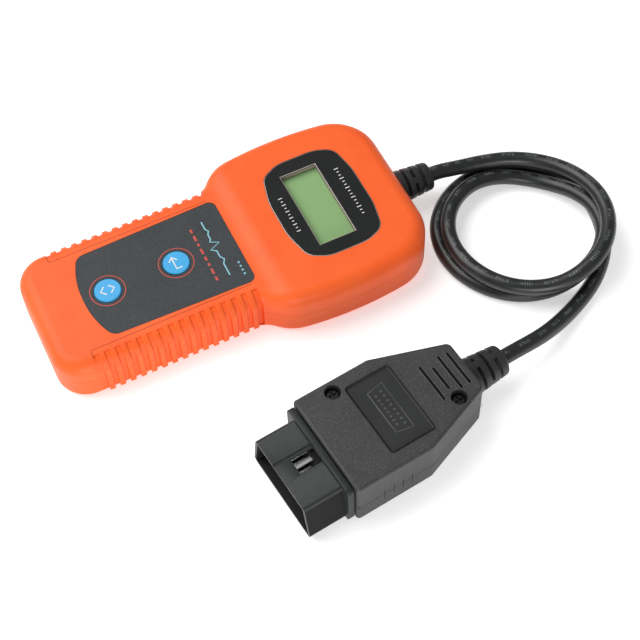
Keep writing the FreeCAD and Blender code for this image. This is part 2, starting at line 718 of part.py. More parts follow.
def display_parts():
    middle = (0.0, size("display_place"))
    bezel = new_body("display_bezel")
    outline = sketch_on(bezel, "bezel_outline", "Dims.case_thick - Dims.lens_thick")
    add_loop(outline, rounded_loop(mirrored(LENS_CORNERS)))
    add_rectangle(outline, "Dims.view_width", "Dims.view_height", middle)
    pad(bezel, outline, "Dims.lens_thick")

    frame = new_body("display_frame")
    outline = sketch_on(frame, "frame_outline", "Dims.display_board_top")
    add_rectangle(outline, "Dims.frame_width", "Dims.frame_height", middle)
    pad(frame, outline, "Dims.frame_top - Dims.display_board_top")
    inner = sketch_on(frame, "frame_inner", "Dims.frame_top - 0.4")
    add_rectangle(inner, "Dims.frame_width - 0.8", "Dims.frame_height - 0.8", middle)
    pocket(frame, inner, "Dims.frame_top - Dims.display_board_top")
    view = sketch_on(frame, "frame_view", "Dims.frame_top")
    add_rectangle(view, "Dims.view_width + 1.6", "Dims.view_height + 1.4", middle)
    pocket(frame, view, "Dims.frame_top - Dims.display_board_top")

    gasket = new_body("display_gasket")
    outline = sketch_on(gasket, "gasket_outline", "Dims.frame_top")
    add_rectangle(outline, "Dims.frame_width - 1.0", "Dims.frame_height - 1.0", middle)
    add_rectangle(outline, "Dims.view_width + 0.4", "Dims.view_height + 0.4", middle)
    pad(gasket, outline, "Dims.case_thick - Dims.lens_thick - Dims.frame_top")

    glass_width = "Dims.frame_width - 2.4"
    glass_height = "Dims.frame_height - 1.6"
    plate("display_glass", glass_width, glass_height, "1.2", "Dims.frame_top - 1.6", middle)
    plate("backlight_panel", glass_width, glass_height, "Dims.frame_top - 1.6 - Dims.display_board_top",
          "Dims.display_board_top", middle)
    plate("display_board", "Dims.display_board_width", "Dims.display_board_height", "Dims.board_thick",
          "Dims.display_board_top - Dims.board_thick", middle)

    pin_count = 14
    pitch = 2.54
    half = 0.32
    row = size("display_place") - size("display_board_height") / 2 + 1.9
    low = size("board_top")
    high = size("display_board_top") - size("board_thick")
    strip = new_body("display_header")
    outline = sketch_on(strip, "header_outline", "Dims.board_top")
    add_rectangle(outline, "%g" % (pin_count * pitch), "2.5", (0.0, row))
    for index in range(pin_count):
        add_rectangle(outline, "%g" % (2 * half), "%g" % (2 * half), (header_x(index, pin_count, pitch), row), 0.7)
    pad(strip, outline, "%g" % (high - low))
    pins = []
    for index in range(pin_count):
        x = header_x(index, pin_count, pitch)
        pins.append(Part.makeBox(2 * half, 2 * half, high - low, Vector(x - half, row - half, low)))
    group("header_pins", pins)


def header_x(index, count, pitch):
    return (index - (count - 1) / 2) * pitch


# ---------------------------------------------------------------- main board


def main_board():
    board = new_body("main_board")
    outline = sketch_on(board, "board_outline", "Dims.board_top - Dims.board_thick")
    add_rectangle(outline, "Dims.board_width", "Dims.board_length", (0.0, 0.0))
    for place in BOARD_SCREWS:
        add_circle(outline, place, "1.1")
    pad(board, outline, "Dims.board_thick")


def chip(label, centre, length, width, height, legs, pitch):
    """A chip with gull-wing legs down two sides, as one body of plastic and tinned legs in two nodes."""
    low = size("board_top")
    x, y = centre
    body = Part.makeBox(width, length, height, Vector(x - width / 2, y - length / 2, low + 0.15))
    body = body.makeChamfer(0.25, [edge for edge in body.Edges if edge.CenterOfMass.z > low + 0.1 + height])
    group(label, [body])
    metal = []
    for index in range(legs):
        along = y + (index - (legs - 1) / 2) * pitch
        for side in (-1, 1):
            start = x + side * width / 2
            outer = start + side * 1.2
            leg = Part.makeBox(abs(outer - start), 0.4, 0.2, Vector(min(start, outer), along - 0.2, low))
            rise = Part.makeBox(0.25, 0.4, height * 0.55, Vector(start if side > 0 else start - 0.25, along - 0.2, low))
            metal.append(leg.fuse(rise).removeSplitter())
    return metal


def board_parts():
    legs = chip("controller_chip", (0.0, 4.0), 18.0, 7.5, 2.3, 14, 1.27)
    legs += chip("transceiver_chip", (11.0, -34.5), 5.0, 4.0, 1.5, 4, 1.27)
    group("chip_legs", legs)
    low = size("board_top")
    crystal = Part.makeBox(4.6, 11.2, 3.4, Vector(-15.0, -4.0, low))
    upright = [edge for edge in crystal.Edges if abs(edge.CenterOfMass.z - low - 1.7) < 0.01]
    group("crystal", [crystal.makeFillet(2.2, upright)])
    group("capacitors", [
        Part.makeCylinder(2.5, 5.4, Vector(-13.0, -34.5, low)),
        Part.makeCylinder(2.5, 5.4, Vector(-18.5, -34.5, low)),
    ])
    regulator = Part.makeBox(6.6, 6.1, 2.3, Vector(9.0, -50.0, low))
    tab = Part.makeBox(5.4, 1.2, 0.6, Vector(9.6, -43.9, low))
    group("voltage_regulator", [regulator.fuse(tab).removeSplitter()])
    trimmer = Part.makeBox(6.5, 6.5, 3.4, Vector(14.0, 4.0, low))
    slot = Part.makeBox(3.2, 0.7, 1.0, Vector(15.65, 6.9, low + 2.6))
    group("contrast_trimmer", [trimmer.cut(slot)])


# ---------------------------------------------------------------- cable ends

WIRE_RADIUS = 0.65
WIRE_COUNT = 5


def wire_between(start, end):
    """A straight wire whose two ends are cut square to Y, so that they sit flush."""
    onward = (end - start).normalize()
    extra = 1.0
    wire = Part.makeCylinder(WIRE_RADIUS, (end - start).Length + 2 * extra, start - onward * extra, onward)
    reach = 40.0
    slab = Part.makeBox(reach, end.y - start.y, reach, Vector(-reach / 2 + start.x, start.y, start.z - reach / 2))
    return wire.common(slab)


def bundle_place(index, axis_x, axis_z, spread=1.45):
    """Five wires in a ring inside the jacket."""
    angle = math.radians(90 - 72 * index)
    return axis_x + spread * math.cos(angle), axis_z + spread * math.sin(angle)


def handset_lead():
    """The socket on the board, the housing on the wires' ends, the wires, and the jacket's end."""
    parting = size("parting")
    low = size("board_top")
    shelf = size("board_length") / 2
    socket = Part.makeBox(15.0, 4.4, 5.6, Vector(-7.5, shelf - 4.4, low))
    mouth = Part.makeBox(13.2, 5.0, 3.8, Vector(-6.6, shelf - 3.4, low + 0.9))
    group("board_socket", [socket.cut(mouth)])
    housing_end = shelf + 1.2
    housing = Part.makeBox(13.0, housing_end - shelf + 3.2, 3.6, Vector(-6.5, shelf - 3.2, low + 1.0))
    group("wire_housing", [housing])
    jacket_end = size("case_length") / 2 - 9.5
    wires = []
    order = sorted(range(WIRE_COUNT), key=lambda index: bundle_place(index, 0, 0)[0])
    for rank, index in enumerate(order):
        x, z = bundle_place(index, 0.0, parting)
        start = Vector((rank - 2) * 2.5, housing_end, low + 2.8)
        wires.append(wire_between(start, Vector(x, jacket_end, z)))
    group("lead_wires", wires)
    end = cylinder("handset_jacket_end", "Dims.cable_radius", "4.5", Vector(0, jacket_end, parting), Vector(0, 1, 0))
    node(end, "handset_jacket_end")


def boot_profile(base_radius, tip_radius, length, inner_length, grooves):
    """Radius and height points of a strain relief, flange, waist and ribbed taper, from its inner end."""
    flange = BOOT_FLANGE
    waist = BOOT_WAIST
    flange_thick = inner_length - size("case_wall") - 0.1
    points = [(0.0, -inner_length), (flange, -inner_length), (flange, flange_thick - inner_length),
              (waist, flange_thick - inner_length), (waist, 0.05), (base_radius - 0.5, 0.05), (base_radius, 0.6)]
    slope = (tip_radius - base_radius) / length
    for place, width, depth in grooves:
        for offset, sink in ((-width / 2, 0), (-width / 2, depth), (width / 2, depth), (width / 2, 0)):
            along = place + offset
            points.append((base_radius + slope * along - sink, along))
    points += [(tip_radius, length - 1.4), (tip_radius - 1.2, length), (0.0, length)]
    return points


BOOT_GROOVES = [(3.3, 1.5, 1.5), (6.9, 1.5, 1.5), (10.6, 1.5, 1.5)]
PLUG_BOOT_GROOVES = [(4.6, 1.5, 1.7), (8.7, 1.5, 1.7), (12.7, 1.5, 1.7)]


def handset_boot():
    place = Vector(0, size("case_length") / 2, size("parting"))
    profile = boot_profile(7.2, 6.0, size("boot_length"), 5.0, BOOT_GROOVES)
    revolve("handset_strain_relief", profile, place, Rotation(Vector(1, 0, 0), -90))


# ---------------------------------------------------------------- cable

EXIT = Vector(0.0, size("case_length") / 2 + size("boot_length"), size("parting"))
# The cable from the handset's strain relief into the coil, and from the coil to the plug.
LEAD_ROUTE = [
    EXIT,
    Vector(0.0, 99.2, 11.5),
    Vector(0.9, 105.2, 10.9),
    Vector(1.9, 111.6, 10.4),
    Vector(3.3, 118.4, 10.5),
]
TAIL_ROUTE = [
    Vector(64.0, 142.6, 3.2),
    Vector(72.4, 133.8, 3.2),
    Vector(78.2, 124.0, 3.3),
    Vector(82.9, 114.1, 4.3),
    Vector(87.0, 104.3, 6.9),
    Vector(90.1, 95.1, 10.0),
]


def plug_point(across, along, height):
    """A point of the plug, given across its width, along its length and up, in the handset's frame."""
    angle = math.radians(size("plug_turn"))
    x = size("plug_x") + across * math.cos(angle) - along * math.sin(angle)
    y = size("plug_y") + across * math.sin(angle) + along * math.cos(angle)
    return Vector(x, y, height)


def tube_path(points):
    """Straight runs joined by tangent arcs, each as large as its two runs allow."""
    edges = []
    radii = []
    here = points[0]
    for before, corner, after in zip(points, points[1:], points[2:]):
        back = (before - corner).normalize()
        onward = (after - corner).normalize()
        turn = math.pi - back.getAngle(onward)
        shorter = min((before - corner).Length, (after - corner).Length)
        reach = 0.45 * shorter
        radius = reach / math.tan(turn / 2)
        radii.append(radius)
        start = corner + back * reach
        end = corner + onward * reach
        bisector = (back + onward).normalize()
        middle = corner + bisector * (radius / math.cos(turn / 2) - radius)
        edges.append(Part.LineSegment(here, start).toShape())
        edges.append(Part.Arc(start, middle, end).toShape())
        here = end
    edges.append(Part.LineSegment(here, points[-1]).toShape())
    return Part.Wire(edges), radii


def cable_tube(label, points):
    """A round tube along a route, with its volume checked against its section times its length."""
    path, radii = tube_path(points)
    radius = size("cable_radius")
    ring = Part.Wire([Part.makeCircle(radius, points[0], points[1] - points[0])])
    shape = path.makePipeShell([ring], True, False)
    item = doc.addObject("Part::Feature", label)
    item.Shape = shape
    expected = math.pi * radius ** 2 * path.Length
    print("%s length %.1f, volume %.0f of %.0f, radii %s" % (
        label, path.Length, shape.Volume, expected, " ".join("%.0f" % value for value in radii)))
    return node(item, label)


def cable_coil():
    """The outer shape of the loose turns: one ring with rounded edges."""
    outer = size("ring_outer")
    inner = size("ring_inner")
    body = new_body("cable_coil")
    sketch = sketch_on(body, "coil_section", None, "XZ_Plane")
    high = size("ring_height")
    corner = 3.0
    section = [(inner, 0.0, corner), (outer, 0.0, corner), (outer, high, corner), (inner, high, corner)]
    add_loop(sketch, rounded_loop(section))
    feature = body.newObject("PartDesign::Revolution", "coil_turn")
    feature.Profile = sketch
    feature.ReferenceAxis = (sketch, ["V_Axis"])
    feature.Angle = 360
    body.Tip = feature
    body.setExpression("Placement.Base.x", "Dims.ring_x")
    body.setExpression("Placement.Base.y", "Dims.ring_y")


def cable_parts():
    cable_tube("cable_lead", LEAD_ROUTE)
    cable_coil()
    boot_end = size("plug_length") + size("plug_boot_length")
    arrival = [plug_point(0, boot_end + 7.0, size("plug_axis")), plug_point(0, boot_end, size("plug_axis"))]
    cable_tube("cable_tail", TAIL_ROUTE + arrival)


# ---------------------------------------------------------------- plug

PLUG_SCREWS = [(-17.4, 14.8), (10.3, 53.3)]
PLUG_SCREW_SEAT = 20.0
# Across the plug and up: the contacts that are fitted, three on the narrow row's left and so on.
NARROW_ROW = [-10.0, -6.0, -2.0, 14.0]
WIDE_ROW = [-6.0, -2.0, 2.0, 6.0, 10.0]
# Grip slots behind the label: place along the plug, then both ends across it.
SLOTS = [(48.2, -8.6, 8.2), (52.3, -5.6, 5.3), (56.6, -8.7, 7.6), (60.4, -8.2, 7.4)]


def plug_placement():
    return Placement(Vector(size("plug_x"), size("plug_y"), 0), Rotation(Vector(0, 0, 1), size("plug_turn")))


def plug_corners(inset, end_inset):
    """The plug shell from above: straight, then tapering to the cable."""
    half = size("plug_half")
    tail = size("plug_tail_half")
    waist = size("plug_waist")
    length = size("plug_length")
    shrink = inset * 0.2
    corner = max(0.4, 1.6 - inset)
    right = [
        (half - inset, end_inset, corner),
        (half - inset, waist - shrink, 3.0),
        (tail - inset * 0.6, length - end_inset, max(0.4, 2.6 - inset)),
    ]
    return mirrored(right)


def front_opening(name):
    """Where the connector passes through the front wall of both plug shells."""
    return box(name, (-17.6, -1.0, 3.9), (17.6, size("plug_wall") + 0.5, 20.1))


def boot_opening(name):
    start = Vector(0, size("plug_length") - 6, size("plug_axis"))
    return cylinder(name, "%g" % BOOT_WAIST, "10", start, Vector(0, 1, 0))


def plug_top_shell():
    blank = extrude("top_blank", rounded_loop(plug_corners(0, 0)), "Dims.plug_thick - Dims.plug_split",
                    "Dims.plug_split")
    rounded = round_rim("top_rounded", blank, "plug_edge", lambda level: level > size("plug_thick") - 0.01)
    wall = size("plug_wall")
    hollow = extrude("top_hollow", rounded_loop(plug_corners(wall, wall)),
                     "Dims.plug_thick - Dims.plug_wall - Dims.plug_split + 1", "Dims.plug_split - 1")
    shell = cut("top_shell", rounded, hollow)
    columns = posts("top_columns", PLUG_SCREWS, "4.2", "Dims.plug_split", "Dims.plug_thick - 1")
    whole = fuse("top_whole", [shell, columns])
    tools = [
        posts("top_counterbores", PLUG_SCREWS, "3.25", "%g" % PLUG_SCREW_SEAT, "Dims.plug_thick + 1"),
        posts("top_clearances", PLUG_SCREWS, "1.5", "0 * Dims.plug_split", "Dims.plug_thick"),
        extrude("label_recess", rounded_loop([(-16.3, 19.0, 1.2), (16.3, 19.0, 1.2), (16.3, 38.8, 1.2),
                                              (-16.3, 38.8, 1.2)]), "2", "Dims.plug_thick - 0.35"),
        front_opening("top_front_opening"),
        boot_opening("top_boot_opening"),
    ]
    for index, (along, left, right) in enumerate(SLOTS):
        low, high = along - 0.65, along + 0.65
        corners = [(left, low, 0.6), (right, low, 0.6), (right, high, 0.6), (left, high, 0.6)]
        tools.append(extrude("slot_%d" % index, rounded_loop(corners), "2", "Dims.plug_thick - 0.9"))
    shape = node(cut("plug_top_solid", whole, fuse("top_tools", tools)), "plug_top_shell")
    shape.Placement = plug_placement()


def plug_bottom_shell():
    blank = extrude("bottom_blank", rounded_loop(plug_corners(0, 0)), "Dims.plug_split - Dims.seam")
    rounded = round_rim("bottom_rounded", blank, "plug_edge", lambda level: level < 0.01)
    wall = size("plug_wall")
    hollow = extrude("bottom_hollow", rounded_loop(plug_corners(wall, wall)), "Dims.plug_thick", "Dims.plug_wall")
    shell = cut("bottom_shell", rounded, hollow)
    columns = posts("bottom_columns", PLUG_SCREWS, "3.4", "Dims.plug_wall - 0.6", "Dims.plug_split - Dims.seam")
    whole = fuse("bottom_whole", [shell, columns])
    tools = [
        posts("bottom_pilots", PLUG_SCREWS, "1.2", "Dims.plug_wall + 0.5", "Dims.plug_thick"),
        front_opening("bottom_front_opening"),
        boot_opening("bottom_boot_opening"),
    ]
    shape = node(cut("plug_bottom_solid", whole, fuse("bottom_tools", tools)), "plug_bottom_shell")
    shape.Placement = plug_placement()


def plug_screws():
    shape = screw_shape(2.75, 1.7, 1.2, PLUG_SCREW_SEAT - 4.0)
    places = [(x, y, PLUG_SCREW_SEAT) for x, y in PLUG_SCREWS]
    screws = screw_group("plug_screws", places, shape)
    screws.Placement = plug_placement()


def shroud_section(inset):
    """The D-shaped section of the connector, narrow side up, as corners across and up."""
    narrow = size("shroud_narrow") - inset
    wide = size("shroud_wide") - inset
    corner = max(0.5, 2.0 - inset)
    right = [(wide, size("shroud_low") + inset, corner), (narrow, size("shroud_high") - inset, corner)]
    return mirrored(right)


def standing(name, corners, front, back):
    """Extrudes a section drawn across and up, along the plug between two places."""
    pieces = rounded_loop(corners)
    item = extrude(name, pieces, "%g" % (back - front), plane="XZ")
    item.Reversed = True
    item.Base.Placement = Placement(Vector(0, front, 0), Rotation(Vector(1, 0, 0), 90))
    return item


def connector_shroud():
    mouth = -size("shroud_length")
    flange_front = -3.2
    flange_back = -0.6
    tube = standing("shroud_tube", shroud_section(0), mouth, flange_front)
    flange_right = [(21.2, 0.8, 2.2), (21.2, 23.4, 2.2)]
    flange = standing("shroud_flange", mirrored(flange_right), flange_front, flange_back)
    neck = standing("shroud_neck", mirrored([(17.4, 4.1, 0.8), (17.4, 19.9, 0.8)]), flange_back, 5.0)
    whole = fuse("shroud_whole", [tube, flange, neck])
    well = standing("shroud_well", shroud_section(size("shroud_wall")), mouth - 1, -4.6)
    seat = standing("shroud_seat", mirrored([(15.4, 5.0, 0.6), (15.4, 19.0, 0.6)]), -6.0, 8.0)
    strip = box("shroud_strip", (-5.0, mouth - 1, size("shroud_high") - 0.7), (5.0, flange_front, 40.0))
    window = box("shroud_window", (-3.4, -12.5, 15.0), (3.4, flange_front + 0.3, 40.0))
    tools = fuse("shroud_tools", [well, seat, strip, window])
    shape = node(cut("shroud_solid", whole, tools), "connector_shroud")
    shape.Placement = plug_placement()


def pin_rows():
    """Every fitted contact, as its place across and up."""
    middle = size("plug_axis")
    half = size("pin_rows") / 2
    return [(x, middle + half) for x in NARROW_ROW] + [(x, middle - half) for x in WIDE_ROW]


PIN_HALF_WIDTH = 0.9
PIN_HALF_THICK = 0.4


def pin_carrier():
    block = standing("carrier_block", mirrored([(15.35, 5.05, 0.6), (15.35, 18.95, 0.6)]), -4.6, 5.4)
    holes = []
    for index, (x, z) in enumerate(pin_rows()):
        low = (x - PIN_HALF_WIDTH, -6.0, z - PIN_HALF_THICK)
        high = (x + PIN_HALF_WIDTH, 8.0, z + PIN_HALF_THICK)
        holes.append(box("carrier_hole_%d" % index, low, high))
    shape = node(cut("carrier_solid", block, fuse("carrier_holes", holes)), "pin_carrier")
    shape.Placement = plug_placement()


def connector_pins():
    tip = -11.8
    tail = 8.6
    pins = []
    for x, z in pin_rows():
        blade = Part.makeBox(2 * PIN_HALF_WIDTH, tail - tip, 2 * PIN_HALF_THICK,
                             Vector(x - PIN_HALF_WIDTH, tip, z - PIN_HALF_THICK))
        nose = [edge for edge in blade.Edges if abs(edge.CenterOfMass.y - tip) < 1e-6 and edge.Length > 1.0]
        pins.append(blade.makeChamfer(0.35, nose))
    pins = group("connector_pins", pins)
    pins.Placement = plug_placement()


def plug_inside():
    """Wires from the contacts to the jacket's end, and the clamp on the jacket."""
    axis = size("plug_axis")
    jacket_end = 51.0
    fitted = [(-6.0, axis + 4), (14.0, axis + 4), (-6.0, axis - 4), (2.0, axis - 4), (10.0, axis - 4)]
    spots = [(-1.4, 1.0), (1.4, 1.2), (-1.7, -0.9), (0.0, -1.5), (1.7, -0.8)]
    wires = []
    for (x, z), (across, up) in zip(fitted, spots):
        wires.append(wire_between(Vector(x, 8.7, z), Vector(across, jacket_end, axis + up)))
    wires = group("plug_wires", wires)
    wires.Placement = plug_placement()
    end = size("plug_length") - 5.0
    jacket = Part.makeCylinder(size("cable_radius"), end - jacket_end, Vector(0, jacket_end, axis), Vector(0, 1, 0))
    group("plug_jacket_end", [jacket]).Placement = plug_placement()
    outer = Part.makeCylinder(size("cable_radius") + 0.8, 3.6, Vector(0, jacket_end + 1.5, axis), Vector(0, 1, 0))
    bore = Part.makeCylinder(size("cable_radius"), 9.0, Vector(0, jacket_end, axis), Vector(0, 1, 0))
    group("plug_cable_clamp", [outer.cut(bore)]).Placement = plug_placement()


def plug_boot():
    length = size("plug_boot_length")
    profile = boot_profile(8.0, 6.3, length, 5.0, PLUG_BOOT_GROOVES)
    boot = revolve("plug_strain_relief", profile, Vector())
    local = Placement(Vector(0, size("plug_length"), size("plug_axis")), Rotation(Vector(1, 0, 0), -90))
    boot.Placement = plug_placement().multiply(local)


# ---------------------------------------------------------------- build and write


def build():
    front_cover()
    rear_cover()
    case_screws()
    board_screws()
    keypad_film()
    for name, place in KEYS:
        key_parts(name, place)
    display_parts()
    main_board()
    board_parts()
    handset_lead()
    handset_boot()
    cable_parts()
    plug_top_shell()
    plug_bottom_shell()
    plug_screws()
    connector_shroud()
    pin_carrier()
    connector_pins()
    plug_inside()
    plug_boot()


def check_and_write():
    doc.recompute()
    for item in doc.Objects:
        if "Invalid" in item.State or "Error" in item.State:
            raise RuntimeError("%s failed: %s" % (item.Name, item.State))
    for item in NODES:
        if item.Shape.isNull() or not item.Shape.isValid():
            raise RuntimeError("%s has no valid shape" % item.Label)
    os.makedirs("parts", exist_ok=True)
    for item in NODES:
        item.Shape.exportStep("parts/%s.step" % item.Label)
        print("%-26s %2d solid(s) %10.1f mm3" % (item.Label, len(item.Shape.Solids), item.Shape.Volume))


build()
check_and_write()
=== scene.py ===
# %% [markdown]
# # A handheld car code reader, its cable and its plug
#
# The real thing is an orange moulded case with a small green display and two keys, a black
# cable that lies in a loose coil, and a dark grey plug that fits a car's service socket.
# The CAD model already holds every hard part at its real size, so this lesson leaves those
# shapes alone. It gives each part the finish of its real material, and it models what a
# solid can't show: the cable's loose turns, the slotted rubber boots, the polished edge of
# the display's lens, and the marks that are printed on the label, the keys and the plug.

# %% Load the frame
import math

import bpy
from mathutils import Matrix, Vector


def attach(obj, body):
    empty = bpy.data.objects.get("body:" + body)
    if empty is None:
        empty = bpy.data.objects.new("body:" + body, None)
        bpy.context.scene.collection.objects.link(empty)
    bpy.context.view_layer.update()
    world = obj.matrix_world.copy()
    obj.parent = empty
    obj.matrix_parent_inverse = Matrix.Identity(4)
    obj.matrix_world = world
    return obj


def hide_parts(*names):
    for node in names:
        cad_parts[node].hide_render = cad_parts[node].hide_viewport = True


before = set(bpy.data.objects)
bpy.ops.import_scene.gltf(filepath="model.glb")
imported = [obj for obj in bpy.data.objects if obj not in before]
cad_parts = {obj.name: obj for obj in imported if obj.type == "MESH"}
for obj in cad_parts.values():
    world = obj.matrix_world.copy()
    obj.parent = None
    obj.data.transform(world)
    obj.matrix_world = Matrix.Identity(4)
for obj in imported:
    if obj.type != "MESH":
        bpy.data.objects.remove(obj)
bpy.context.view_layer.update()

# %% [markdown]
# ## Working in millimetres
#
# Blender counts in metres. The reader is drawn in millimetres, as its maker would, so one
# small helper turns millimetres into metres, and every size below reads like a drawing.
# A second helper clears the selection, because loading leaves every CAD part selected and
# an operator works on whatever is selected.

# %% Small helpers
MM = 0.001


def mm(*values):
    """A point given in millimetres, as a vector in metres."""
    return Vector(values) * MM


def deselect():
    bpy.ops.object.select_all(action="DESELECT")


def select_only(*objects):
    deselect()
    for item in objects:
        item.select_set(True)
    bpy.context.view_layer.objects.active = objects[0]


# %% [markdown]
# ## The camera
#
# A small tool shows best from above one corner, through a longish lens, so that its
# outlines hardly converge. Three things place the camera: where it stands, where it looks,
# and which way is right in its view. A camera looks along its own -Z axis, with +X to the
# right and +Y up in its view, so those directions make its rotation matrix.

# %% Camera
CAMERA_PLACE = mm(338.85, -104.67, 512.73)
CAMERA_LOOKS = Vector((-0.49464, 0.21378, -0.84239))
CAMERA_RIGHT = Vector((0.43559, 0.89973, -0.02744))
LENS_MM = 84.375
SENSOR_MM = 36.0
NEAR_LIMIT = 0.01


def add_camera():
    look = CAMERA_LOOKS.normalized()
    right = (CAMERA_RIGHT - look * CAMERA_RIGHT.dot(look)).normalized()
    up = right.cross(look)
    camera = bpy.data.objects.new("studio_camera", bpy.data.cameras.new("studio_camera"))
    bpy.context.scene.collection.objects.link(camera)
    camera.data.lens = LENS_MM
    camera.data.sensor_width = SENSOR_MM
    camera.data.clip_start = NEAR_LIMIT
    camera.location = CAMERA_PLACE
    camera.rotation_euler = Matrix((right, up, -look)).transposed().to_euler()
    bpy.context.scene.camera = camera
    return camera


camera = add_camera()
print("the camera is", round(camera.location.length, 3), "m from the reader's origin")

# %% [markdown]
# ## The cable's line
#
# A cable is one fixed length of something springy. Ours leaves the handset's boot, lies in
# two and a third loose turns, slips out under them and climbs into the plug's boot. Where
# it isn't coiled, a few given points steer it, and they are the same points as the
# CAD route's. The turns are worked out in a loop: a short list says how far from the
# middle of the coil the cable lies, and how high, as the turns go round, and the loop
# reads a smooth value between those places every twenty degrees. The first turn rides on
# top of the second, and both ride over the third on the far side, just as a real coil
# that was dropped on a table stacks up where its turns cross.

# %% Route of the cable
PLUG_FRONT = (101.9, -3.2)
PLUG_TURN = math.radians(6.5)
PLUG_AXIS = 12.0
PLUG_LENGTH = 64.0
PLUG_BOOT_LENGTH = 17.0
PLUG_BOOT_END = PLUG_LENGTH + PLUG_BOOT_LENGTH
STRAIGHT_RUN = 7.0
CABLE_RADIUS = 3.2

CASE_BACK = 80.0
CASE_BOOT_LENGTH = 15.0
CORD_HEIGHT = 11.5
CORD_EXIT = (0.0, CASE_BACK + CASE_BOOT_LENGTH, CORD_HEIGHT)
LEAD_POINTS = [
    CORD_EXIT,
    (0.0, 99.2, CORD_HEIGHT),
    (0.9, 105.2, 10.9),
    (1.9, 111.6, 10.4),
    (3.3, 118.4, 10.5),
]
TAIL_POINTS = [
    (64.0, 142.6, 3.2),
    (72.4, 133.8, 3.2),
    (78.2, 124.0, 3.3),
    (82.9, 114.1, 4.3),
    (87.0, 104.3, 6.9),
    (90.1, 95.1, 10.0),
]


def plug_point(across, along, height):
    """A point given across the plug, along it towards the cable, and up, in millimetres."""
    x = PLUG_FRONT[0] + across * math.cos(PLUG_TURN) - along * math.sin(PLUG_TURN)
    y = PLUG_FRONT[1] + across * math.sin(PLUG_TURN) + along * math.cos(PLUG_TURN)
    return (x, y, height)


COIL_MIDDLE = (37.7, 118.2)
COIL_STEP = 20
COIL_FIRST = 20
COIL_LAST = 840
# Angle round the coil in degrees, distance from its middle and height, in millimetres.
COIL_SHAPE = [
    (0, 33.4, 10.7), (35, 31.9, 10.8), (70, 32.2, 12.8), (90, 33.0, 14.8), (110, 34.2, 16.1),
    (135, 35.6, 16.3), (152, 36.0, 15.9), (165, 35.7, 14.4), (180, 34.9, 11.9), (195, 33.6, 10.4),
    (210, 32.5, 9.9), (250, 30.7, 9.5), (275, 30.3, 8.9), (300, 30.0, 8.4), (330, 29.3, 7.9),
    (345, 28.8, 7.4), (360, 28.2, 6.5), (380, 27.4, 4.8), (395, 27.0, 3.9), (415, 27.2, 4.3),
    (430, 28.0, 6.2), (442, 29.0, 7.9), (453, 30.4, 9.1), (467, 32.5, 9.7), (490, 34.0, 9.8),
    (510, 33.9, 9.9), (525, 33.2, 8.1), (540, 32.4, 5.2), (552, 31.9, 3.6), (570, 31.6, 3.2),
    (610, 32.5, 3.2), (635, 33.7, 3.2), (660, 34.4, 3.2), (690, 34.1, 3.2), (720, 34.1, 3.2),
    (755, 34.4, 3.2), (790, 34.1, 3.2), (820, 33.9, 3.2), (840, 34.4, 3.2),
]


def slope_at(index, column):
    """How fast a column of COIL_SHAPE changes at one of its rows, per degree."""
    before = COIL_SHAPE[max(index - 1, 0)]
    after = COIL_SHAPE[min(index + 1, len(COIL_SHAPE) - 1)]
    return (after[column] - before[column]) / (after[0] - before[0])


def coil_value(angle, column):
    """A smooth value between the two rows of COIL_SHAPE that the angle lies between."""
    index = 0
    while index < len(COIL_SHAPE) - 2 and COIL_SHAPE[index + 1][0] < angle:
        index += 1
    here = COIL_SHAPE[index]
    following = COIL_SHAPE[index + 1]
    span = following[0] - here[0]
    t = (angle - here[0]) / span
    return (
        (2 * t ** 3 - 3 * t ** 2 + 1) * here[column]
        + (t ** 3 - 2 * t ** 2 + t) * span * slope_at(index, column)
        + (3 * t ** 2 - 2 * t ** 3) * following[column]
        + (t ** 3 - t ** 2) * span * slope_at(index + 1, column)
    )


def coil_points():
    """Control points of the turns. The spline cuts inside them, so they stand a little further out."""
    outward = 1 / (0.75 + 0.25 * math.cos(math.radians(COIL_STEP)))
    points = []
    for angle in range(COIL_FIRST, COIL_LAST + 1, COIL_STEP):
        radius = coil_value(angle, 1) * outward
        turn = math.radians(angle)
        x = COIL_MIDDLE[0] - radius * math.cos(turn)
        y = COIL_MIDDLE[1] + radius * math.sin(turn)
        points.append((x, y, coil_value(angle, 2)))
    return points


arrival = [
    plug_point(0, PLUG_BOOT_END + STRAIGHT_RUN, PLUG_AXIS),
    plug_point(0, PLUG_BOOT_END, PLUG_AXIS),
]
route = [mm(*point) for point in LEAD_POINTS + coil_points() + TAIL_POINTS + arrival]
print("the cable's line has", len(route), "control points")

# %% [markdown]
# ## The cable
#
# The line becomes one NURBS spline. Of order 3 it bends smoothly between its points, and
# with its ends clamped it starts and stops exactly at the two boots. A bevel gives it a
# round section. A curve keeps its own texture coordinates, with U along its length and V
# round it, which the printed marks on the jacket use later on. Its twist is measured from
# straight up, so that the same V is the top of the cable all the way along.

# %% Cable
def add_cable(points):
    data = bpy.data.curves.new("cable", "CURVE")
    data.dimensions = "3D"
    data.twist_mode = "Z_UP"
    spline = data.splines.new("NURBS")
    spline.points.add(len(points) - 1)
    for control, place in zip(spline.points, points):
        control.co = (place.x, place.y, place.z, 1.0)
    spline.order_u = 3
    spline.use_endpoint_u = True
    spline.resolution_u = 10
    data.bevel_depth = CABLE_RADIUS * MM
    data.bevel_resolution = 7
    data.use_fill_caps = True
    cable = bpy.data.objects.new("cable", data)
    bpy.context.scene.collection.objects.link(cable)
    return cable


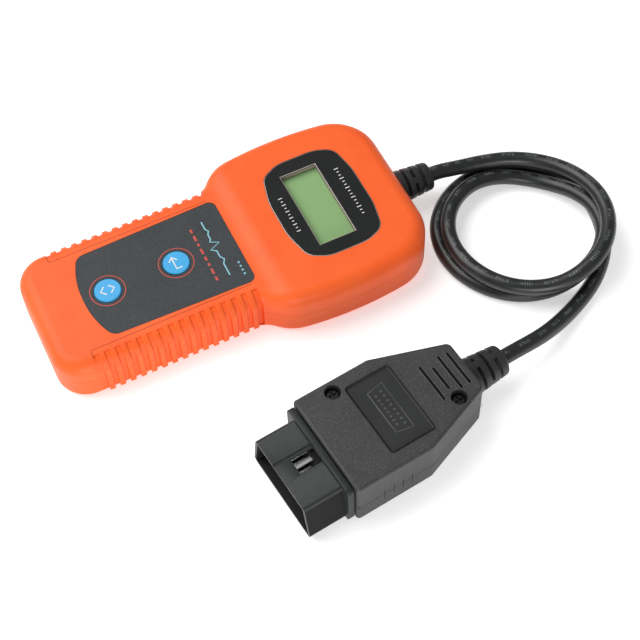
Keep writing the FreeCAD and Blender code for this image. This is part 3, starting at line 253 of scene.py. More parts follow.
def line_of(curve_object):
    """Points along the middle of a curve, read from a copy of it that has no bevel."""
    data = curve_object.data.copy()
    data.bevel_depth = 0.0
    bare = bpy.data.objects.new("bare_line", data)
    bpy.context.scene.collection.objects.link(bare)
    mesh = bpy.data.meshes.new_from_object(bare.evaluated_get(bpy.context.evaluated_depsgraph_get()))
    line = [vertex.co.copy() for vertex in mesh.vertices]
    bpy.data.objects.remove(bare)
    bpy.data.meshes.remove(mesh)
    return line


cable = add_cable(route)
bpy.context.view_layer.update()
cable_line = line_of(cable)
cable_length = sum((b - a).length for a, b in zip(cable_line, cable_line[1:]))
print("cable length", round(cable_length, 4), "m")

# %% [markdown]
# ## The boots
#
# Where the cable leaves a housing, a soft rubber boot stops it from kinking. The real ones
# are stubby cones with slots cut across them, so that they bend evenly. Each starts here as
# a cone. The bisect operator cuts rings into it at both edges of every slot. The bands
# between those rings are selected by their height, leaving out the short bridges that hold
# the rubber together, and an inset with no width and a negative depth sinks them. The sunk
# faces take a second slot, a near-black that paints the shade inside the slots. A bevel
# modifier then breaks all the edges, as moulded rubber has no sharp ones.

# %% Boots
BOOT_SIDES = 96
BOOT_FLANGE = 6.6
BOOT_WAIST = 5.0
BOOT_FLANGE_LENGTH = 2.6
BRIDGE_HALF = 12.0
SLOT_DEEP = 1.5
SLOT_WIDE = 1.5
TIP_ROUND = 1.1
CASE_WALL = 2.2
ON_AN_END = 0.01


def start_boot(name, length, base_radius, tip_radius):
    deselect()
    bpy.ops.mesh.primitive_cone_add(
        vertices=BOOT_SIDES, radius1=base_radius * MM, radius2=tip_radius * MM, depth=length * MM,
        end_fill_type="NGON", location=mm(0, 0, length / 2))
    boot = bpy.context.object
    boot.name = name
    boot.data.materials.append(None)
    boot.data.materials.append(None)
    bpy.ops.object.transform_apply(location=True, rotation=True, scale=True)
    return boot


def bisect_at(height):
    """Cuts a ring of edges round the piece at a height in millimetres. Edit mode."""
    bpy.ops.mesh.select_all(action="SELECT")
    bpy.ops.mesh.bisect(plane_co=mm(0, 0, height), plane_no=(0, 0, 1))


def pick_faces(piece, wanted):
    """Selects the faces that a test accepts, given each face's middle in millimetres and normal."""
    bpy.ops.object.mode_set(mode="OBJECT")
    for polygon in piece.data.polygons:
        polygon.select = wanted(polygon.center / MM, polygon.normal)
    bpy.ops.object.mode_set(mode="EDIT")
    bpy.ops.mesh.select_mode(type="FACE")


def in_slot(centre, place, bridges):
    """True on the band of a slot, away from its bridges."""
    if abs(centre.z - place) > SLOT_WIDE / 2:
        return False
    if centre.xy.length < 1.0:
        return False
    angle = math.degrees(math.atan2(centre.y, centre.x))
    return all(abs((angle - bridge + 180) % 360 - 180) > BRIDGE_HALF for bridge in bridges)


def cut_slots(boot, slots):
    """Sinks each slot all round, or as arcs between its bridges, and gives its faces the second slot, for
    painted shade.
    """
    bpy.ops.object.mode_set(mode="EDIT")
    for place in slots:
        bisect_at(place - SLOT_WIDE / 2)
        bisect_at(place + SLOT_WIDE / 2)
    bpy.ops.object.mode_set(mode="OBJECT")
    for place, bridges in slots.items():
        pick_faces(boot, lambda centre, normal: in_slot(centre, place, bridges))
        bpy.ops.mesh.inset(thickness=0.0, depth=-SLOT_DEEP * MM, use_even_offset=True)
        bpy.ops.object.mode_set(mode="OBJECT")
        # The sunk faces take slot 1, which holds painted shade.
        for polygon in boot.data.polygons:
            if polygon.select:
                polygon.material_index = 1


def add_root(boot, base_radius):
    """Pulls the boot's inner end through the wall and spreads it into the flange that locks it."""
    bpy.ops.object.mode_set(mode="EDIT")
    pick_faces(boot, lambda centre, normal: centre.z < ON_AN_END and normal.z < -0.9)
    bpy.ops.mesh.inset(thickness=(base_radius - BOOT_WAIST) * MM)
    bpy.ops.mesh.extrude_region_move(TRANSFORM_OT_translate={"value": mm(0, 0, -CASE_WALL)})
    bpy.ops.mesh.extrude_region_move(TRANSFORM_OT_translate={"value": mm(0, 0, -0.02)})
    spread = BOOT_FLANGE / BOOT_WAIST
    bpy.ops.transform.resize(value=(spread, spread, 1.0))
    bpy.ops.mesh.extrude_region_move(TRANSFORM_OT_translate={"value": mm(0, 0, -BOOT_FLANGE_LENGTH)})
    bpy.ops.object.mode_set(mode="OBJECT")


def soften(piece, width, segments, angle=35):
    """Rounds every edge sharper than the angle and shades the rest smooth."""
    bevel = piece.modifiers.new("soft_edges", "BEVEL")
    bevel.width = width * MM
    bevel.segments = segments
    bevel.limit_method = "ANGLE"
    bevel.angle_limit = math.radians(angle)
    bevel.use_clamp_overlap = True
    select_only(piece)
    bpy.ops.object.modifier_apply(modifier=bevel.name)
    bpy.ops.object.shade_smooth_by_angle(angle=math.radians(40))


def round_tip(boot, length):
    """A full bevel round the rim of the outer end."""
    bpy.ops.object.mode_set(mode="EDIT")
    pick_faces(boot, lambda centre, normal: centre.z > length - ON_AN_END and normal.z > 0.9)
    bpy.ops.mesh.bevel(offset=TIP_ROUND * MM, segments=5, affect="EDGES")
    bpy.ops.object.mode_set(mode="OBJECT")


def strain_relief(name, length, base_radius, tip_radius, slots, place):
    """A boot. Each slot is a height on it, with the angles of the bridges across that slot."""
    boot = start_boot(name, length, base_radius, tip_radius)
    cut_slots(boot, slots)
    round_tip(boot, length)
    add_root(boot, base_radius)
    soften(boot, width=0.18, segments=3)
    boot.data.transform(place)
    return boot


along_y = Matrix.Rotation(math.radians(-90), 4, "X")
handset_boot_place = Matrix.Translation(mm(0, CASE_BACK, CORD_HEIGHT)) @ along_y
plug_turned = Matrix.Rotation(PLUG_TURN, 4, "Z")
plug_place = Matrix.Translation(mm(PLUG_FRONT[0], PLUG_FRONT[1], 0)) @ plug_turned
plug_boot_place = plug_place @ Matrix.Translation(mm(0, PLUG_LENGTH, PLUG_AXIS)) @ along_y

handset_boot = strain_relief(
    "handset_boot", CASE_BOOT_LENGTH, base_radius=7.2, tip_radius=6.0,
    slots={3.3: [], 6.9: [-56, 124], 10.6: []}, place=handset_boot_place)
plug_boot = strain_relief(
    "plug_boot", PLUG_BOOT_LENGTH, base_radius=8.0, tip_radius=6.3,
    slots={4.6: [-90, 90], 8.7: [0, 180], 12.7: [-90, 90]}, place=plug_boot_place)
print("boot faces:", len(handset_boot.data.polygons), len(plug_boot.data.polygons))

# %% [markdown]
# ## The display's lens
#
# The lens is a millimetre of clear acrylic with black ink on it, and its cut edge is
# polished, so a thin bright line runs round it. The CAD lens is the right shape, but its
# edge is square. A copy of its mesh is merged into one skin, because a CAD mesh is loose
# triangles. Its flat faces are dissolved into whole ones, and a bevel takes off the sharp
# edge. The bevel modifier can give its new faces a material of their own: an opaque pale
# brown-grey, a painted highlight for the light seen in the clear polished edge. The connector's
# housing is rebuilt from a copy too, with finely rounded edges, and the faces inside its
# mouth get a slot of their own for painted shade, a darker black.

# %% Lens and connector housing
EDGE_POLISHED = 0.28
EDGE_SHROUD = 0.22
# The well inside the connector's mouth, in the plug's own directions. Its faces get painted shade.
WELL_HALF = 18.9
WELL_LOW = 3.4
WELL_HIGH = 19.95
WELL_MOUTH = -19.2
WELL_BACK = -4.0


def merged_copy(node_name, name):
    """A copy of a CAD node's mesh, joined into one skin with whole flat faces."""
    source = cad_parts[node_name]
    piece = bpy.data.objects.new(name, source.data.copy())
    bpy.context.scene.collection.objects.link(piece)
    select_only(piece)
    bpy.ops.mesh.customdata_custom_splitnormals_clear()
    bpy.ops.object.mode_set(mode="EDIT")
    bpy.ops.mesh.select_all(action="SELECT")
    bpy.ops.mesh.remove_doubles(threshold=1e-6)
    bpy.ops.mesh.dissolve_limited(angle_limit=math.radians(1.0))
    bpy.ops.object.mode_set(mode="OBJECT")
    return piece


def add_lens():
    lens = merged_copy("display_bezel", "display_lens")
    lens.data.materials.clear()
    bevel = lens.modifiers.new("polished_edge", "BEVEL")
    bevel.width = EDGE_POLISHED * MM
    bevel.segments = 3
    bevel.limit_method = "ANGLE"
    bevel.angle_limit = math.radians(60)
    # The bevel's faces take the second slot: the pale lens edge, a painted highlight.
    bevel.material = 1
    return lens


def add_shroud():
    """The connector's housing again, with finely rounded edges, and its well as a second slot, for painted
    shade.
    """
    shroud = merged_copy("connector_shroud", "connector_housing")
    soften(shroud, width=EDGE_SHROUD, segments=2)
    shroud.data.materials.clear()
    shroud.data.materials.append(None)
    shroud.data.materials.append(None)
    to_plug = plug_place.inverted()
    for polygon in shroud.data.polygons:
        across, along, height = to_plug @ polygon.center / MM
        inside = abs(across) < WELL_HALF and WELL_LOW < height < WELL_HIGH
        polygon.material_index = 1 if inside and WELL_MOUTH < along < WELL_BACK else 0
    return shroud


lens = add_lens()
shroud = add_shroud()
print("lens faces:", len(lens.data.polygons), "shroud faces:", len(shroud.data.polygons))

# %% [markdown]
# ## Ink
#
# The marks on the reader are screen-printed: thin flat lines of ink. A line of ink is drawn
# as a curve with a round bevel, turned into a mesh, and pressed nearly flat, which leaves
# a low smooth bead just proud of the surface. Dots and rings are drawn the same way. All
# marks here are plain signs: a pulse trace, arrows, a plug's outline.

# %% Ink lines
INK_HEIGHT = 0.03
RING_SEGMENTS = 40


def ink_line(points, width, closed=False):
    """One stroke through points in millimetres, in the plane."""
    data = bpy.data.curves.new("stroke", "CURVE")
    data.dimensions = "3D"
    spline = data.splines.new("POLY")
    spline.points.add(len(points) - 1)
    for control, (x, y) in zip(spline.points, points):
        control.co = (x * MM, y * MM, 0.0, 1.0)
    spline.use_cyclic_u = closed
    data.bevel_depth = width / 2 * MM
    data.bevel_resolution = 2
    data.use_fill_caps = True
    stroke = bpy.data.objects.new("stroke", data)
    bpy.context.scene.collection.objects.link(stroke)
    select_only(stroke)
    bpy.ops.object.convert(target="MESH")
    stroke.data.transform(Matrix.Diagonal((1.0, 1.0, 2 * INK_HEIGHT / width, 1.0)))
    return stroke


def ring_points(x, y, radius, start=0.0, sweep=360.0, segments=RING_SEGMENTS):
    """Points along a circle, or along an arc of it. A full circle leaves out its last point."""
    count = segments if sweep >= 360 else segments + 1
    points = []
    for index in range(count):
        angle = math.radians(start + sweep * index / segments)
        points.append((x + radius * math.cos(angle), y + radius * math.sin(angle)))
    return points


def ink_ring(x, y, radius, width):
    return ink_line(ring_points(x, y, radius), width, closed=True)


def print_marks(name, strokes, place):
    """Joins strokes into one printed piece and lays it on its surface."""
    select_only(*strokes)
    bpy.ops.object.join()
    marks = bpy.context.object
    marks.name = name
    marks.data.transform(place)
    for polygon in marks.data.polygons:
        polygon.use_smooth = True
    return marks


# %% [markdown]
# ## What is printed
#
# On the keypad film a red ring frames each key, and above the keys run a pale blue pulse
# trace and a broken red line under it. The lens has one row of white ticks on each side of
# the window, like the scale of a gauge. Each key carries a white sign: an arrow that comes
# back for enter, and a pair of arrow heads for scroll.

# %% Marks on the label, the lens and the keys
FILM_TOP = 21.4
LENS_TOP = 23.0
KEY_TOP = 21.95
ENTER_Y = -19.5
SCROLL_Y = -48.95
RING_RADIUS = 7.15
RING_WIDTH = 0.42
DASH_Y = -8.0
DASH_GAP = 1.5
DASH_WIDTH = 1.1
TRACE_WIDTH = 0.6
MARK_Y = 3.0
MARK_STEP = 2.0
MARK_LENGTH = 0.8
MARK_WIDTH = 0.9
TICK_WIDTH = 0.42
TICK_STEP = 1.8
SIGN_WIDTH = 0.62


def on_height(height):
    return Matrix.Translation(mm(0, 0, height))


def pulse_trace(x, y, length, height):
    """A pulse trace along X: flat, a small wave, a spike, a dip, and flat again."""
    shape = [(0, 0), (0.14, 0), (0.19, 0.35), (0.24, 0), (0.33, 0), (0.37, -0.3), (0.43, 1.0),
             (0.5, -0.75), (0.55, 0), (0.66, 0), (0.72, 0.45), (0.79, 0), (1, 0)]
    return [(x + length * along, y + height * up) for along, up in shape]


def tick_row(count, start, y, every, tall, short):
    """Upright ticks in a row, every so many of them a tall one."""
    strokes = []
    for index in range(count):
        half = (tall if index % every == 0 else short) / 2
        x = start + index * TICK_STEP
        strokes.append(ink_line([(x, y - half), (x, y + half)], TICK_WIDTH))
    return strokes


red_marks = [ink_ring(0, key_y, RING_RADIUS, RING_WIDTH) for key_y in (ENTER_Y, SCROLL_Y)]
dash_start = -12.5
for dash in (2.0, 2.8, 1.4, 2.8, 2.0, 1.4, 2.8, 2.0):
    red_marks.append(ink_line([(dash_start, DASH_Y), (dash_start + dash, DASH_Y)], DASH_WIDTH))
    dash_start += dash + DASH_GAP
red_print = print_marks("label_red_marks", red_marks, on_height(FILM_TOP))

blue_marks = [ink_line(pulse_trace(x=-14.0, y=-2.6, length=29.0, height=2.6), TRACE_WIDTH)]
for index in range(4):
    mark_start = 10.6 + index * MARK_STEP
    blue_marks.append(ink_line([(mark_start, MARK_Y), (mark_start + MARK_LENGTH, MARK_Y)], MARK_WIDTH))
blue_print = print_marks("label_blue_marks", blue_marks, on_height(FILM_TOP))

white_marks = tick_row(15, start=-12.6, y=57.8, every=3, tall=1.9, short=1.0)
white_marks += tick_row(11, start=-9.0, y=30.6, every=2, tall=1.7, short=0.9)
lens_print = print_marks("lens_white_marks", white_marks, on_height(LENS_TOP))



def key_sign(name, lines, y):
    """The white sign on a key, drawn round the key's middle."""
    strokes = [ink_line(points, SIGN_WIDTH) for points in lines]
    return print_marks(name, strokes, Matrix.Translation(mm(0, y, KEY_TOP)))


enter_print = key_sign("enter_sign", [
    [(3.0, 1.5), (3.0, -0.9), (-2.6, -0.9)],
    [(-1.0, 0.8), (-2.9, -0.9), (-1.0, -2.6)],
], ENTER_Y)
scroll_print = key_sign("scroll_sign", [
    [(-1.9, 1.0), (0.0, 2.9), (1.9, 1.0)],
    [(-1.9, -1.0), (0.0, -2.9), (1.9, -1.0)],
], SCROLL_Y)
print("printed marks:", red_print.name, blue_print.name, lens_print.name)

# %% [markdown]
# ## The sign on the plug
#
# The plug's upper shell has a shallow recess, polished smoother than the rest, with a raised
# sign in it. Ours shows what the plug is: the slanted outline of its mouth with two rows of
# contacts. The slots behind it have raised rims. The sign and the rims are a paler grey than
# the shell, a painted highlight on their edges, and near-black matt strips on the slot floors
# are painted shade. Short dark bars cross the side, and a fine near-black line of painted
# shade fills the seam between the two shells.

# %% Panel, sign, slot rims and side bars of the plug
PANEL_FLOOR = 23.65
PANEL_THICK = 0.04
PANEL_ACROSS = 32.3
PANEL_ALONG = 19.5
PANEL_MIDDLE = 28.9
PANEL_CORNER = 1.0
PLUG_TOP = 24.0
PLUG_HALF = 22.5
PLUG_SEAM = 9.45


def label_panel():
    """A thin plate with round corners on the floor of the label recess."""
    deselect()
    bpy.ops.mesh.primitive_cube_add(size=1.0)
    panel = bpy.context.object
    panel.name = "plug_label_panel"
    panel.data.transform(Matrix.Diagonal((PANEL_ACROSS * MM, PANEL_ALONG * MM, PANEL_THICK * MM, 1.0)))
    bpy.ops.object.mode_set(mode="EDIT")
    bpy.ops.mesh.select_mode(type="EDGE")
    bpy.ops.object.mode_set(mode="OBJECT")
    for edge in panel.data.edges:
        first, second = (panel.data.vertices[index].co for index in edge.vertices)
        edge.select = abs(first.z - second.z) > 0.5 * PANEL_THICK * MM
    bpy.ops.object.mode_set(mode="EDIT")
    bpy.ops.mesh.bevel(offset=PANEL_CORNER * MM, segments=6, affect="EDGES")
    bpy.ops.object.mode_set(mode="OBJECT")
    middle = mm(0, PANEL_MIDDLE, PANEL_FLOOR + PANEL_THICK / 2)
    panel.data.transform(plug_place @ Matrix.Translation(middle))
    return panel


SIGN_MOUTH = [(-9.6, 25.4), (9.6, 25.4), (11.2, 32.6), (-11.2, 32.6)]
# Each row's place along the plug, and how far it reaches to each side.
SIGN_ROWS = [(27.6, 7.0), (30.4, 8.0)]
CONTACTS_IN_ROW = 8


def sign_on_plug():
    """The connector's mouth as a slanted outline with two rows of contacts."""
    strokes = [ink_line(SIGN_MOUTH, 0.7, closed=True)]
    for along, reach in SIGN_ROWS:
        for index in range(CONTACTS_IN_ROW):
            across = -reach + 2 * reach * index / (CONTACTS_IN_ROW - 1)
            strokes.append(ink_ring(across, along, 0.35, 0.5))
    place = plug_place @ on_height(PANEL_FLOOR + PANEL_THICK) @ Matrix.Diagonal((1.0, 1.0, 4.0, 1.0))
    return print_marks("plug_sign", strokes, place)


# Each slot's place along the plug, and its two ends across it.
SLOT_PLACES = [(48.2, -8.6, 8.2), (52.3, -5.6, 5.3), (56.6, -8.7, 7.6), (60.4, -8.2, 7.4)]
SLOT_HALF = 0.72
SLOT_DEPTH = 0.6
SLOT_END = 0.6
RIM_WIDTH = 0.34
SLOT_SHADE_WIDTH = 1.1
BAR_WIDTH = 0.26
BAR_FIRST = 12.0
BAR_STEP = 4.1
BAR_LOW = 6.0
BAR_HIGH = 12.6


def slot_outline(along, left, right):
    """Round a slot: a half turn at each end, joined by two straight sides."""
    right_end = ring_points(right - 0.4, along, SLOT_HALF, start=-90, sweep=180, segments=8)
    left_end = ring_points(left + 0.4, along, SLOT_HALF, start=90, sweep=180, segments=8)
    return right_end + left_end


def slot_rims():
    """A low raised rim round each slot."""
    strokes = [ink_line(slot_outline(*slot), RIM_WIDTH, closed=True) for slot in SLOT_PLACES]
    place = plug_place @ on_height(PLUG_TOP) @ Matrix.Diagonal((1, 1, 3, 1))
    return print_marks("plug_slot_rims", strokes, place)


def slot_shade_strips():
    """Near-black matt strips on the floors of the slots: painted shade."""
    strokes = []
    for along, left, right in SLOT_PLACES:
        strokes.append(ink_line([(left + SLOT_END, along), (right - SLOT_END, along)], SLOT_SHADE_WIDTH))
    return print_marks("plug_slot_shade", strokes, plug_place @ on_height(PLUG_TOP - SLOT_DEPTH))


def side_bars():
    """Short upright bars on the right side of the plug, across its seam."""
    strokes = []
    for index in range(4):
        along = BAR_FIRST + index * BAR_STEP
        strokes.append(ink_line([(along, BAR_LOW), (along, BAR_HIGH)], BAR_WIDTH))
    bars = print_marks("plug_side_bars", strokes, on_height(0))
    stand_up = Matrix.Rotation(math.radians(90), 4, "X")
    face_right = Matrix.Rotation(math.radians(90), 4, "Z")
    bars.data.transform(plug_place @ Matrix.Translation(mm(PLUG_HALF, 0, 0)) @ face_right @ stand_up)
    return bars


# The right half of the plug's outline seen from above. The left half mirrors it.
HALF_OUTLINE = [(PLUG_HALF, 0.1), (PLUG_HALF, 33.4), (11.6, 63.9)]
PLUG_OUTLINE = HALF_OUTLINE + [(-x, y) for x, y in reversed(HALF_OUTLINE)]


def seam_shade_line():
    """Painted shade: a dark line laid in the seam where the plug's two shells meet."""
    inset = [(x - math.copysign(0.03, x), y) for x, y in PLUG_OUTLINE]
    stroke = ink_line(inset, 0.16)
    stroke.data.transform(Matrix.Diagonal((1.0, 1.0, 3.0, 1.0)))
    return print_marks("plug_seam_shade", [stroke], plug_place @ on_height(PLUG_SEAM))


label_plate = label_panel()
plug_sign = sign_on_plug()
slot_rim_piece = slot_rims()
slot_shade_piece = slot_shade_strips()
side_bar_piece = side_bars()
seam_shade_piece = seam_shade_line()
print("slots on the plug:", len(SLOT_PLACES), "faces of the panel:", len(label_plate.data.polygons))

# %% [markdown]
# ## The line round the grip panels
#
# The ribs stand in a shallow panel on each side of the grip. Its edge is a step of a
# fraction of a millimetre, whose shade shows as one fine dark line along the top face.
# That line is painted shade: a flat bead of dark orange laid along the top face.

# %% Grip lines
GRIP_FACE = 21.5
GRIP_STEP = [(26.6, -65.4), (23.5, -65.2), (23.2, -64.9), (22.9, 3.6)]
grip_shade_strokes = [ink_line([(side * x, y) for x, y in GRIP_STEP], 0.28) for side in (-1, 1)]
grip_shade_lines = print_marks("grip_shade_lines", grip_shade_strokes, on_height(GRIP_FACE))

# %% [markdown]
# ## Finishes
#
# Every finish below is a few nodes round one Principled shader. What is the same all over,
# such as gloss or metalness, is a number on the shader. What varies comes from noise in
# object coordinates, which are metres on the real part, so a grain of a third of a
# millimetre stays a third of a millimetre on every part that wears the finish.

# %% Node helpers
def start_material(name, roughness, metallic=0.0, specular=0.5):
    material = bpy.data.materials.new(name)
    material.use_nodes = True
    shader = material.node_tree.nodes["Principled BSDF"]
    shader.inputs["Roughness"].default_value = roughness
    shader.inputs["Metallic"].default_value = metallic
    shader.inputs["Specular IOR Level"].default_value = specular
    return material, shader


def add_node(material, kind, **settings):
    item = material.node_tree.nodes.new(kind)
    for key, value in settings.items():
        setattr(item, key, value)
    return item


def link(material, source, target):
    material.node_tree.links.new(source, target)


def object_noise(material, size_mm, detail=2.0, rough=0.5):
    """Noise whose features are about a size in millimetres, and its value socket."""
    coordinates = add_node(material, "ShaderNodeTexCoord")
    noise = add_node(material, "ShaderNodeTexNoise")
    noise.inputs["Scale"].default_value = 1.0 / (size_mm * MM)
    noise.inputs["Detail"].default_value = detail
    noise.inputs["Roughness"].default_value = rough
    link(material, coordinates.outputs["Object"], noise.inputs["Vector"])
    return noise.outputs["Fac"]


def spread_of(material, value, low, high, to_low=0.0, to_high=1.0):
    """Stretches part of a value's range to a new range."""
    item = add_node(material, "ShaderNodeMapRange")
    item.inputs["From Min"].default_value = low
    item.inputs["From Max"].default_value = high
    item.inputs["To Min"].default_value = to_low
    item.inputs["To Max"].default_value = to_high
    link(material, value, item.inputs["Value"])
    return item.outputs["Result"]


def mix_colours(material, factor, first, second):
    """A colour between two, each a colour or a socket."""
    item = add_node(material, "ShaderNodeMix", data_type="RGBA")
    link(material, factor, item.inputs[0])
    for socket, colour in ((item.inputs[6], first), (item.inputs[7], second)):
        if isinstance(colour, tuple):
            socket.default_value = (*colour, 1.0)
        else:
            link(material, colour, socket)
    return item.outputs[2]


def add_bump(material, shader, height, distance_mm):
    bump = add_node(material, "ShaderNodeBump")
    bump.inputs["Strength"].default_value = 1.0
    bump.inputs["Distance"].default_value = distance_mm * MM
    link(material, height, bump.inputs["Height"])
    link(material, bump.outputs["Normal"], shader.inputs["Normal"])


# %% [markdown]
# ## Moulded plastics
#
# Most of the reader is moulded plastic, and moulded plastics differ in three things:
# colour, how fine the grain of the mould is, and how much it shines. One function makes
# them all. A broad noise drifts the colour very slightly, as pigment does, a fine noise is
# the mould's grain as bump, and the same grain breaks up the gloss. Where a surface has
# tiny bright specks, as textured dark plastic does, a third noise mixes in a paler colour.

# %% Moulded plastic
DRIFT_MM = 14.0


def moulded(name, colour, shade, roughness, grain_mm, grain_depth, spots=0.0, specular=0.5):
    """Plastic that drifts between a colour and its shade, with a grain of a size and depth."""
    material, shader = start_material(name, roughness, specular=specular)
    drift = spread_of(material, object_noise(material, DRIFT_MM), 0.35, 0.65)
    tint = mix_colours(material, drift, colour, shade)
    grain = object_noise(material, grain_mm, detail=3.0, rough=0.6)
    if spots:
        specks = object_noise(material, grain_mm * 1.3, detail=1.0)
        speck = spread_of(material, specks, 0.55, 0.75, 0.0, spots)
        tint = mix_colours(material, speck, tint, tuple(min(1.0, part * 2.6 + 0.02) for part in colour))
    link(material, tint, shader.inputs["Base Color"])
    gloss = spread_of(material, grain, 0.3, 0.7, roughness - 0.05, roughness + 0.06)
    link(material, gloss, shader.inputs["Roughness"])
    add_bump(material, shader, grain, grain_depth)
    return material


# Each finish: its name, its colour, the shade it drifts to, its roughness, and the size and
# depth of its grain in millimetres.
case_orange = moulded(
    "case_orange", (0.95, 0.132, 0.021), (0.93, 0.116, 0.017), 0.46, 0.35, 0.010, specular=0.30)
# Painted shade: a dark orange for the line along the step round the grip panels.
grip_step_shade_orange = moulded(
    "grip_step_shade_orange", (0.42, 0.040, 0.008), (0.38, 0.034, 0.006), 0.5, 0.5, 0.004, specular=0.3)
plug_grey = moulded(
    "plug_grey", (0.035, 0.037, 0.036), (0.029, 0.031, 0.030), 0.50, 0.30, 0.06, spots=0.7, specular=0.42)
label_smooth = moulded(
    "label_smooth", (0.023, 0.024, 0.025), (0.019, 0.020, 0.021), 0.46, 0.25, 0.012, specular=0.28)
# Paler than the plug's shell: a painted highlight on the edges of the raised sign and the slot rims.
rim_painted_highlight = moulded("rim_painted_highlight", (0.060, 0.062, 0.064), (0.052, 0.054, 0.056), 0.30, 0.5, 0.004)
# Painted shade: near-black for the boot slots, the connector's well and the slot floors. The pin carrier in
# the well wears it too.
painted_shade_black = moulded(
    "painted_shade_black", (0.007, 0.007, 0.007), (0.005, 0.005, 0.005), 0.6, 0.5, 0.006, specular=0.15)
# Near-black: painted shade in the plug's seam. The short bars on the plug's side wear it too.
seam_shade_and_bars = moulded(
    "seam_shade_and_bars", (0.006, 0.006, 0.006), (0.004, 0.004, 0.004), 0.7, 0.5, 0.004, specular=0.1)
shroud_black = moulded(
    "shroud_black", (0.024, 0.027, 0.028), (0.019, 0.021, 0.022), 0.44, 0.8, 0.006, specular=0.26)
keypad_charcoal = moulded(
    "keypad_charcoal", (0.034, 0.039, 0.042), (0.028, 0.033, 0.036), 0.55, 0.26, 0.02, spots=0.55,
    specular=0.35)
key_blue = moulded("key_blue", (0.048, 0.42, 0.78), (0.042, 0.38, 0.74), 0.35, 0.5, 0.006, specular=0.4)
lens_black = moulded(
    "lens_black", (0.012, 0.013, 0.013), (0.009, 0.010, 0.010), 0.16, 1.2, 0.001, specular=0.5)
chip_black = moulded("chip_black", (0.022, 0.022, 0.024), (0.016, 0.016, 0.018), 0.6, 0.12, 0.01)
light_guide = moulded("light_guide", (0.80, 0.82, 0.78), (0.74, 0.76, 0.72), 0.35, 0.6, 0.004)
trimmer_blue = moulded("trimmer_blue", (0.04, 0.16, 0.50), (0.03, 0.13, 0.44), 0.4, 0.3, 0.006)
wire_red = moulded("wire_red", (0.55, 0.030, 0.020), (0.48, 0.024, 0.016), 0.38, 0.5, 0.006)
gasket_brown = moulded("gasket_brown", (0.34, 0.26, 0.22), (0.28, 0.22, 0.19), 0.8, 0.25, 0.04)
boot_rubber = moulded(
    "boot_rubber", (0.022, 0.022, 0.023), (0.017, 0.017, 0.018), 0.42, 0.30, 0.02, specular=0.45)
print("plastics:", sorted(material.name for material in bpy.data.materials))

# %% [markdown]
# ## Metals
#
# Tinned contacts are near-white and only a quarter metallic, a painted reflection that stands
# for the overhead light that bright tin would mirror. The display's pressed frame and the
# screws on the board are bright, and the screws of the case and the plug are blackened.
# Plain grey would look like paint, so a stretched noise draws faint rolling lines into the gloss.

# %% Metals
def metal(name, colour, shade, roughness, line_mm, metallic=1.0):
    material, shader = start_material(name, roughness, metallic=metallic)
    coordinates = add_node(material, "ShaderNodeTexCoord")
    stretch = add_node(material, "ShaderNodeMapping")
    stretch.inputs["Scale"].default_value = (1.0, 0.08, 1.0)
    link(material, coordinates.outputs["Object"], stretch.inputs["Vector"])
    noise = add_node(material, "ShaderNodeTexNoise")
    noise.inputs["Scale"].default_value = 1.0 / (line_mm * MM)
    noise.inputs["Detail"].default_value = 3.0
    link(material, stretch.outputs["Vector"], noise.inputs["Vector"])
    tint = mix_colours(material, noise.outputs["Fac"], colour, shade)
    link(material, tint, shader.inputs["Base Color"])
    gloss = spread_of(material, noise.outputs["Fac"], 0.3, 0.7, roughness - 0.06, roughness + 0.10)
    link(material, gloss, shader.inputs["Roughness"])
    add_bump(material, shader, noise.outputs["Fac"], 0.001)
    return material


# Painted reflection: near-white and only a quarter metallic, so the contacts look as bright as tin that
# mirrors the overhead light.
tinned_brass = metal("tinned_brass", (0.98, 0.98, 0.97), (0.92, 0.92, 0.91), 0.40, 0.15, metallic=0.25)
bright_steel = metal("bright_steel", (0.66, 0.66, 0.66), (0.55, 0.55, 0.56), 0.32, 0.2)
dark_steel = metal("dark_steel", (0.040, 0.040, 0.042), (0.026, 0.026, 0.028), 0.34, 0.25)

# %% [markdown]
# ## The cable's jacket
#
# The jacket is soft black vinyl with a low shine. Along it runs a line of pale print. The
# curve's own coordinates give the place: U runs along the cable and V round it. A narrow
# band of V keeps the print to one line, and two repeating steps along U break it into
# strokes and groups with gaps, so that it reads as print from a distance and says nothing.

# %% Jacket
PRINT_LOW = 0.145
PRINT_HIGH = 0.215
STROKE_MM = 0.95
GROUP_MM = 9.4


def jacket(name, length_mm, printed):
    material, shader = start_material(name, 0.34)
    drift = spread_of(material, object_noise(material, 6.0), 0.35, 0.65)
    tint = mix_colours(material, drift, (0.011, 0.012, 0.013), (0.016, 0.017, 0.018))
    if printed:
        tint = mix_colours(material, print_mask(material, length_mm), tint, (0.15, 0.165, 0.17))
    link(material, tint, shader.inputs["Base Color"])
    grain = object_noise(material, 0.5, detail=2.0)
    link(material, spread_of(material, grain, 0.3, 0.7, 0.30, 0.40), shader.inputs["Roughness"])
    add_bump(material, shader, grain, 0.008)
    return material


def math_node(material, operation, first, second):
    """Arithmetic on two values, each a number or a socket."""
    item = add_node(material, "ShaderNodeMath", operation=operation)
    for socket, value in zip(item.inputs, (first, second)):
        if isinstance(value, (int, float)):
            socket.default_value = value
        else:
            link(material, value, socket)
    return item.outputs["Value"]


def band(material, value, low, high):
    """One inside a range of a value and nought outside it."""
    above = math_node(material, "GREATER_THAN", value, low)
    below = math_node(material, "LESS_THAN", value, high)
    return math_node(material, "MULTIPLY", above, below)


